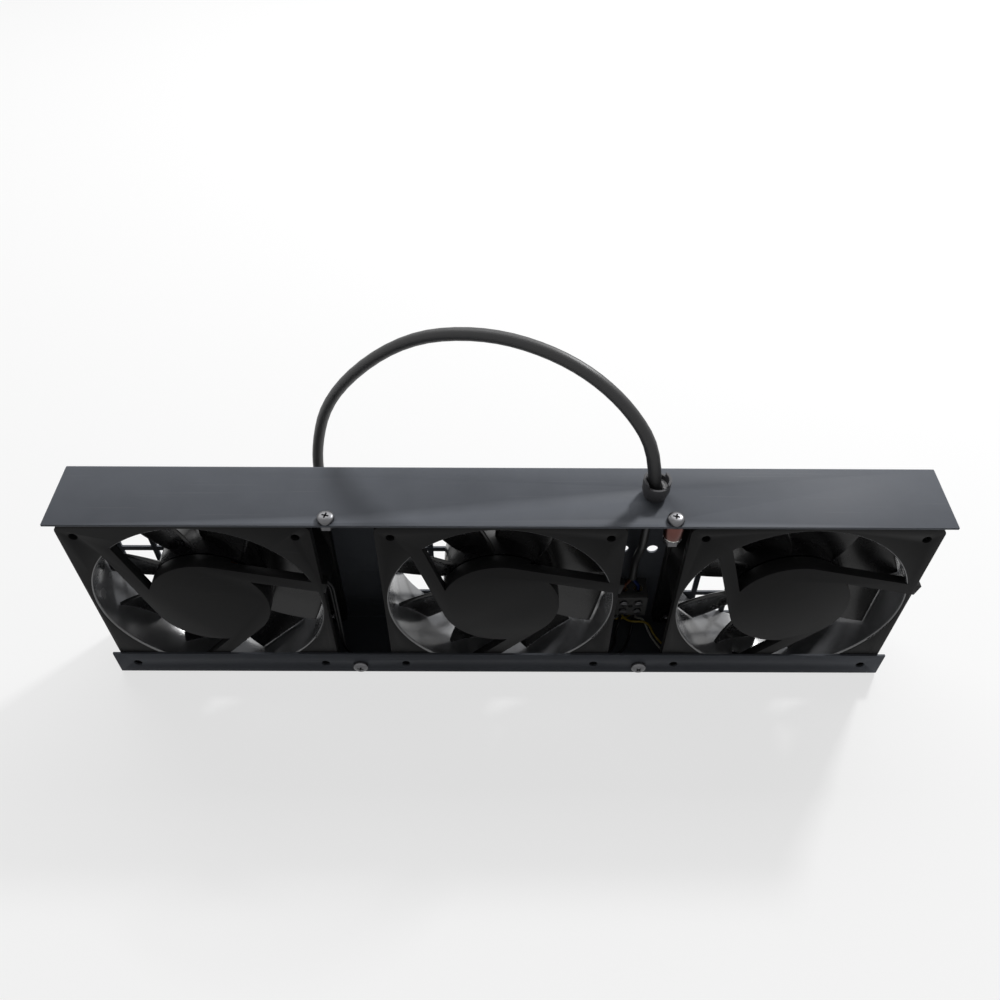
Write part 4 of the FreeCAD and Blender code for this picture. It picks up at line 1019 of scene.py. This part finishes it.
@dataclass
class Hardware(Assembly):
    """Earth stack, terminal block and gland.

    Attributes:
        edge_round: Round of the moulded edges.
    """

    edge_round: float = 0.3 * MM

    def build(self) -> None:
        """Round and finish the small pieces."""
        for node, name, finish, width in (
                ("earth_spacer", "earth_spacer_sleeve", SPACER_BROWN, self.edge_round),
                ("earth_ring_terminal", "earth_ring", TINNED, 0.1 * MM),
                ("earth_star_washer", "earth_toothed_washer", SCREW_STEEL, 0.08 * MM),
                ("terminal_block", "block_moulding", BLOCK_NYLON, self.edge_round),
                ("terminal_screws", "clamp_screws", SCREW_STEEL, 0.1 * MM),
                ("terminal_fixing_screw", "block_screw", SCREW_STEEL, 0.15 * MM),
                ("gland_body", "gland_cup", GLAND_NYLON, 0.2 * MM),
                ("gland_wedge", "gland_wedge_grip", WEDGE_NYLON, 0.2 * MM),
                ("gland_locknut", "gland_hex_nut", GLAND_NYLON, 0.4 * MM)):
            self.refine(node, name, finish, width)
        self.paint("terminal_clamps", CLAMP_BRASS)


@dataclass
class Wiring(Assembly):
    """Fan leads and the cord's cores inside the tray."""

    def leads(self, name: str, finishes: Sequence[Finish]) -> None:
        """Give a fan's two leads their colours."""
        node = f"fan_leads_{name}"
        mesh = merged_copy(node)
        for finish in finishes:
            mesh.materials.append(finish.material())
        for number, group in enumerate(islands(mesh)):
            for face in group:
                mesh.polygons[face].material_index = number % len(finishes)
        smooth(mesh)
        self.keep(new_object(f"lead_pair_{name}", mesh), finishes[0], [node])

    def build(self) -> None:
        """Colour the wires."""
        self.leads("left", [LEAD_BLACK])
        for name in ("center", "right"):
            self.leads(name, [LEAD_YELLOW, LEAD_WHITE])
        for node, finish in (("core_sleeve", SLEEVE_PVC), ("live_core", LIVE_PVC),
                             ("neutral_core", NEUTRAL_PVC), ("earth_core", EARTH_PVC)):
            self.paint(node, finish)


# The cord's route: up out of the gland, over the back edge and down to the floor.
CORD_ROUTE: list[Point] = [
    (0.0740, 0.0010, 0.1100), (0.0740, 0.0010, 0.1460), (0.0564, 0.0097, 0.1734),
    (0.0285, 0.0236, 0.1886), (-0.0086, 0.0420, 0.1886), (-0.0506, 0.0629, 0.1687),
    (-0.0940, 0.0845, 0.1168), (-0.1095, 0.0916, 0.0683), (-0.1105, 0.0922, 0.0294),
    (-0.1197, 0.0933, 0.0133), (-0.1357, 0.0953, 0.0040), (-0.1538, 0.0974, 0.0040),
]


@dataclass
class PowerCord(Assembly):
    """Mains cord with its put-away coil, straps and plug.

    Attributes:
        radius: The cord's radius.
        exit: Where the cord leaves the gland's neck; not used.
        coil_centre: The coil's centre on the floor.
        coil_radius: Mean radius of the coil.
        coil_foot: Height of the coil's underside.
        start_angle: Where the route meets the coil, in degrees.
        leave_angle: Where the tail leaves the coil, in degrees.
        shift_angle: The angle over which one turn steps to its next place, in degrees.
        points_per_turn: Control points in each turn.
        tail_length: Length of the tail to the plug.
        layers: The column (1 outer, -1 inner) and layer of each turn, from the first.
    """

    radius: float = 3.2 * MM
    exit: Point = (74.0 * MM, 1.0 * MM, 126.0 * MM)
    coil_centre: tuple[float, float] = (-158.0 * MM, 63.5 * MM)
    coil_radius: float = 31.0 * MM
    coil_foot: float = 0.8 * MM
    start_angle: float = 83.0
    leave_angle: float = 290.0
    shift_angle: float = 25.0
    points_per_turn: int = 16
    tail_length: float = 24.0 * MM
    layers: tuple[tuple[int, int], ...] = ((1, 0), (-1, 0), (-1, 1), (-1, 2), (1, 2), (1, 1))

    def section(self, angle: float) -> tuple[float, float]:
        """Return the coil's radius and height at an angle along its turns, in degrees."""
        column, layer = (float(part) for part in self.layers[0])
        for turn, (after_column, after_layer) in enumerate(self.layers[1:], start=1):
            end = self.start_angle + 360.0 * turn - self.shift_angle * (turn - 1)
            share = min(max((angle - end + self.shift_angle) / self.shift_angle, 0.0), 1.0)
            share = share * share * (3.0 - 2.0 * share)
            before_column, before_layer = self.layers[turn - 1]
            column += (after_column - before_column) * share
            layer += (after_layer - before_layer) * share
        return (self.coil_radius + column * self.radius,
                self.coil_foot + (2.0 * layer + 1.0) * self.radius)

    def coil_points(self) -> list[Point]:
        """Return the control points of the coil's turns and of the tail."""
        step = 360.0 / self.points_per_turn
        last = self.leave_angle + 360.0 * (len(self.layers) - 1)
        count = int((last - self.start_angle) / step)
        swell = 1.0 / math.cos(math.radians(step / 2))
        points = []
        for n in range(1, count + 1):
            angle = self.start_angle + n * (last - self.start_angle) / count
            reach, height = self.section(angle)
            turn = math.radians(angle - step / 2)
            points.append((self.coil_centre[0] + reach * swell * math.cos(turn),
                           self.coil_centre[1] + reach * swell * math.sin(turn), height))
        reach, height = self.section(last)
        turn = math.radians(last)
        for run in (self.tail_length * 0.15, self.tail_length):
            points.append((self.coil_centre[0] + reach * math.cos(turn) - run * math.sin(turn),
                           self.coil_centre[1] + reach * math.sin(turn) + run * math.cos(turn),
                           height))
        return points

    def cord(self) -> bpy.types.Object:
        """Draw the whole cord as one smooth curve."""
        points = CORD_ROUTE[:-1] + self.coil_points()
        curve = bpy.data.curves.new("power_cord_jacket", "CURVE")
        curve.dimensions = "3D"
        spline = curve.splines.new("NURBS")
        spline.points.add(len(points) - 1)
        for spot, point in zip(spline.points, points):
            spot.co = (*point, 1.0)
        spline.order_u = 3
        spline.use_endpoint_u = True
        spline.resolution_u = 6
        curve.bevel_depth = self.radius
        curve.bevel_resolution = 6
        curve.use_fill_caps = True
        curve.materials.append(CORD_RUBBER.material())
        return new_object("power_cord_jacket", curve)

    def build(self) -> None:
        """Make the cord, its straps and its plug."""
        cord = self.keep(self.cord(), CORD_RUBBER,
                         ["power_cord", "power_cord_coil", "power_cord_tail"])
        straps = self.refine("cord_ties", "coil_straps", STRAP_WEAVE, 0.2 * MM)
        boot = self.refine("plug_boot", "plug_strain_relief", MOULDED_PVC, 0.3 * MM)
        plug = self.refine("plug_body", "plug_moulding", MOULDED_PVC, 0.2 * MM)
        pins = self.refine("plug_pins", "plug_contacts", PIN_BRASS, 0.2 * MM)


# ---- studio
@dataclass(frozen=True)
class Lamp:
    """A soft area lamp.

    Attributes:
        name: The lamp's name.
        place: Where it stands.
        aim: What it points at.
        size: Its width and height.
        power: Its power in watts.
    """

    name: str
    place: Point
    aim: Point
    size: tuple[float, float]
    power: float

    def build(self) -> None:
        """Add the lamp to the scene."""
        light = bpy.data.lights.new(self.name, "AREA")
        light.shape = "RECTANGLE"
        light.size, light.size_y = self.size
        light.energy = self.power
        lamp = new_object(self.name, light)
        lamp.location = self.place
        ray = Vector(self.aim) - Vector(self.place)
        lamp.rotation_euler = ray.to_track_quat("-Z", "Y").to_euler()


@dataclass(frozen=True)
class Studio:
    """Floor, world, lamps and camera.

    Attributes:
        floor_size: Half the floor's width.
        floor_colour: The floor's colour.
        floor_glow: The share of plain white in the floor that the camera sees.
        sky: The world's level as light on the object.
        camera_place: Where the camera stands.
        camera_turn: The camera's Euler angles in degrees.
        lens: Focal length in millimetres on a 36 mm sensor.
        shift: The camera's upward shift.
        lamps: The lamps.
    """

    floor_size: float = 6.0
    floor_colour: Colour = (0.86, 0.86, 0.86)
    floor_glow: float = 0.7
    sky: float = 0.12
    camera_place: Point = (-0.00219, -0.30286, 0.43669)
    camera_turn: Point = (40.6948, -0.3167, -0.0031)
    lens: float = 32.587
    shift: float = 0.04948
    lamps: tuple[Lamp, ...] = (
        Lamp("wide_behind", (0.0, 1.0, 1.15), (0.0, 0.0, 0.1), (2.4, 0.8), 17.0),
        Lamp("key_behind", (0.85, 1.1, 1.25), (0.0, 0.0, 0.08), (0.18, 0.18), 21.0),
    )

    @staticmethod
    def seen(tree: NodeTree) -> Value:
        """Return 1 for a ray from the camera, or off metal or through glass, else 0."""
        path = tree.add("ShaderNodeLightPath")
        camera, glossy, clear = (Value(tree, path.outputs[f"Is {kind} Ray"])
                                 for kind in ("Camera", "Glossy", "Transmission"))
        return tree.math("MAXIMUM", camera, tree.math("MAXIMUM", glossy, clear))

    def floor(self) -> None:
        """Lay a pale floor that keeps the object's shadow."""
        size = self.floor_size
        mesh = bpy.data.meshes.new("floor")
        corners = [(-size, -size, 0.0), (size, -size, 0.0), (size, size, 0.0), (-size, size, 0.0)]
        mesh.from_pydata(corners, [], [(0, 1, 2, 3)])
        material = bpy.data.materials.new("floor_white")
        tree = NodeTree.cleared(material)
        diffuse = tree.get("ShaderNodeBsdfDiffuse", {"Color": (*self.floor_colour, 1.0)})
        glow = tree.get("ShaderNodeEmission", {"Color": (1.0, 1.0, 1.0, 1.0), "Strength": 1.0})
        shader = tree.get("ShaderNodeMixShader", {
            0: self.seen(tree) * self.floor_glow, 1: diffuse, 2: glow})
        tree.add("ShaderNodeOutputMaterial", {"Surface": shader})
        mesh.materials.append(material)
        new_object("floor", mesh)

    def world(self) -> None:
        """Light the object evenly, and show white behind it."""
        world = bpy.data.worlds.new("studio")
        bpy.context.scene.world = world
        tree = NodeTree.cleared(world)
        level = self.seen(tree) * (1.0 - self.sky) + self.sky
        light = tree.get("ShaderNodeBackground", {"Color": (1.0, 1.0, 1.0, 1.0), "Strength": level})
        tree.add("ShaderNodeOutputWorld", {"Surface": light})

    def camera(self) -> None:
        """Stand the camera in front of the tray, looking down on it."""
        data = bpy.data.cameras.new("camera")
        data.sensor_width = 36.0
        data.lens = self.lens
        data.shift_y = self.shift
        camera = new_object("camera", data)
        camera.location = self.camera_place
        camera.rotation_euler = [math.radians(turn) for turn in self.camera_turn]
        bpy.context.scene.camera = camera

    def build(self) -> None:
        """Set up the stage."""
        bpy.context.scene.view_settings.view_transform = "Standard"
        self.floor()
        self.world()
        self.camera()
        for lamp in self.lamps:
            lamp.build()


def main() -> None:
    """Build the stage and every sub-assembly, and report the pieces."""
    logging.basicConfig(level=logging.INFO, format="%(name)s: %(message)s")
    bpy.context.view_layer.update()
    Studio().build()
    assemblies: list[Assembly] = [
        Channel(),
        Fan("left", BodyName.ROTOR_LEFT, -150.0 * MM),
        Fan("center", BodyName.ROTOR_CENTER, 0.0),
        Fan("right", BodyName.ROTOR_RIGHT, 150.0 * MM),
        Fasteners(),
        Hardware(),
        Wiring(),
        PowerCord(),
    ]
    for assembly in assemblies:
        assembly.build()
        log.info("%s: %s", type(assembly).__name__, ", ".join(assembly.made))


if __name__ == "__main__":
    main()
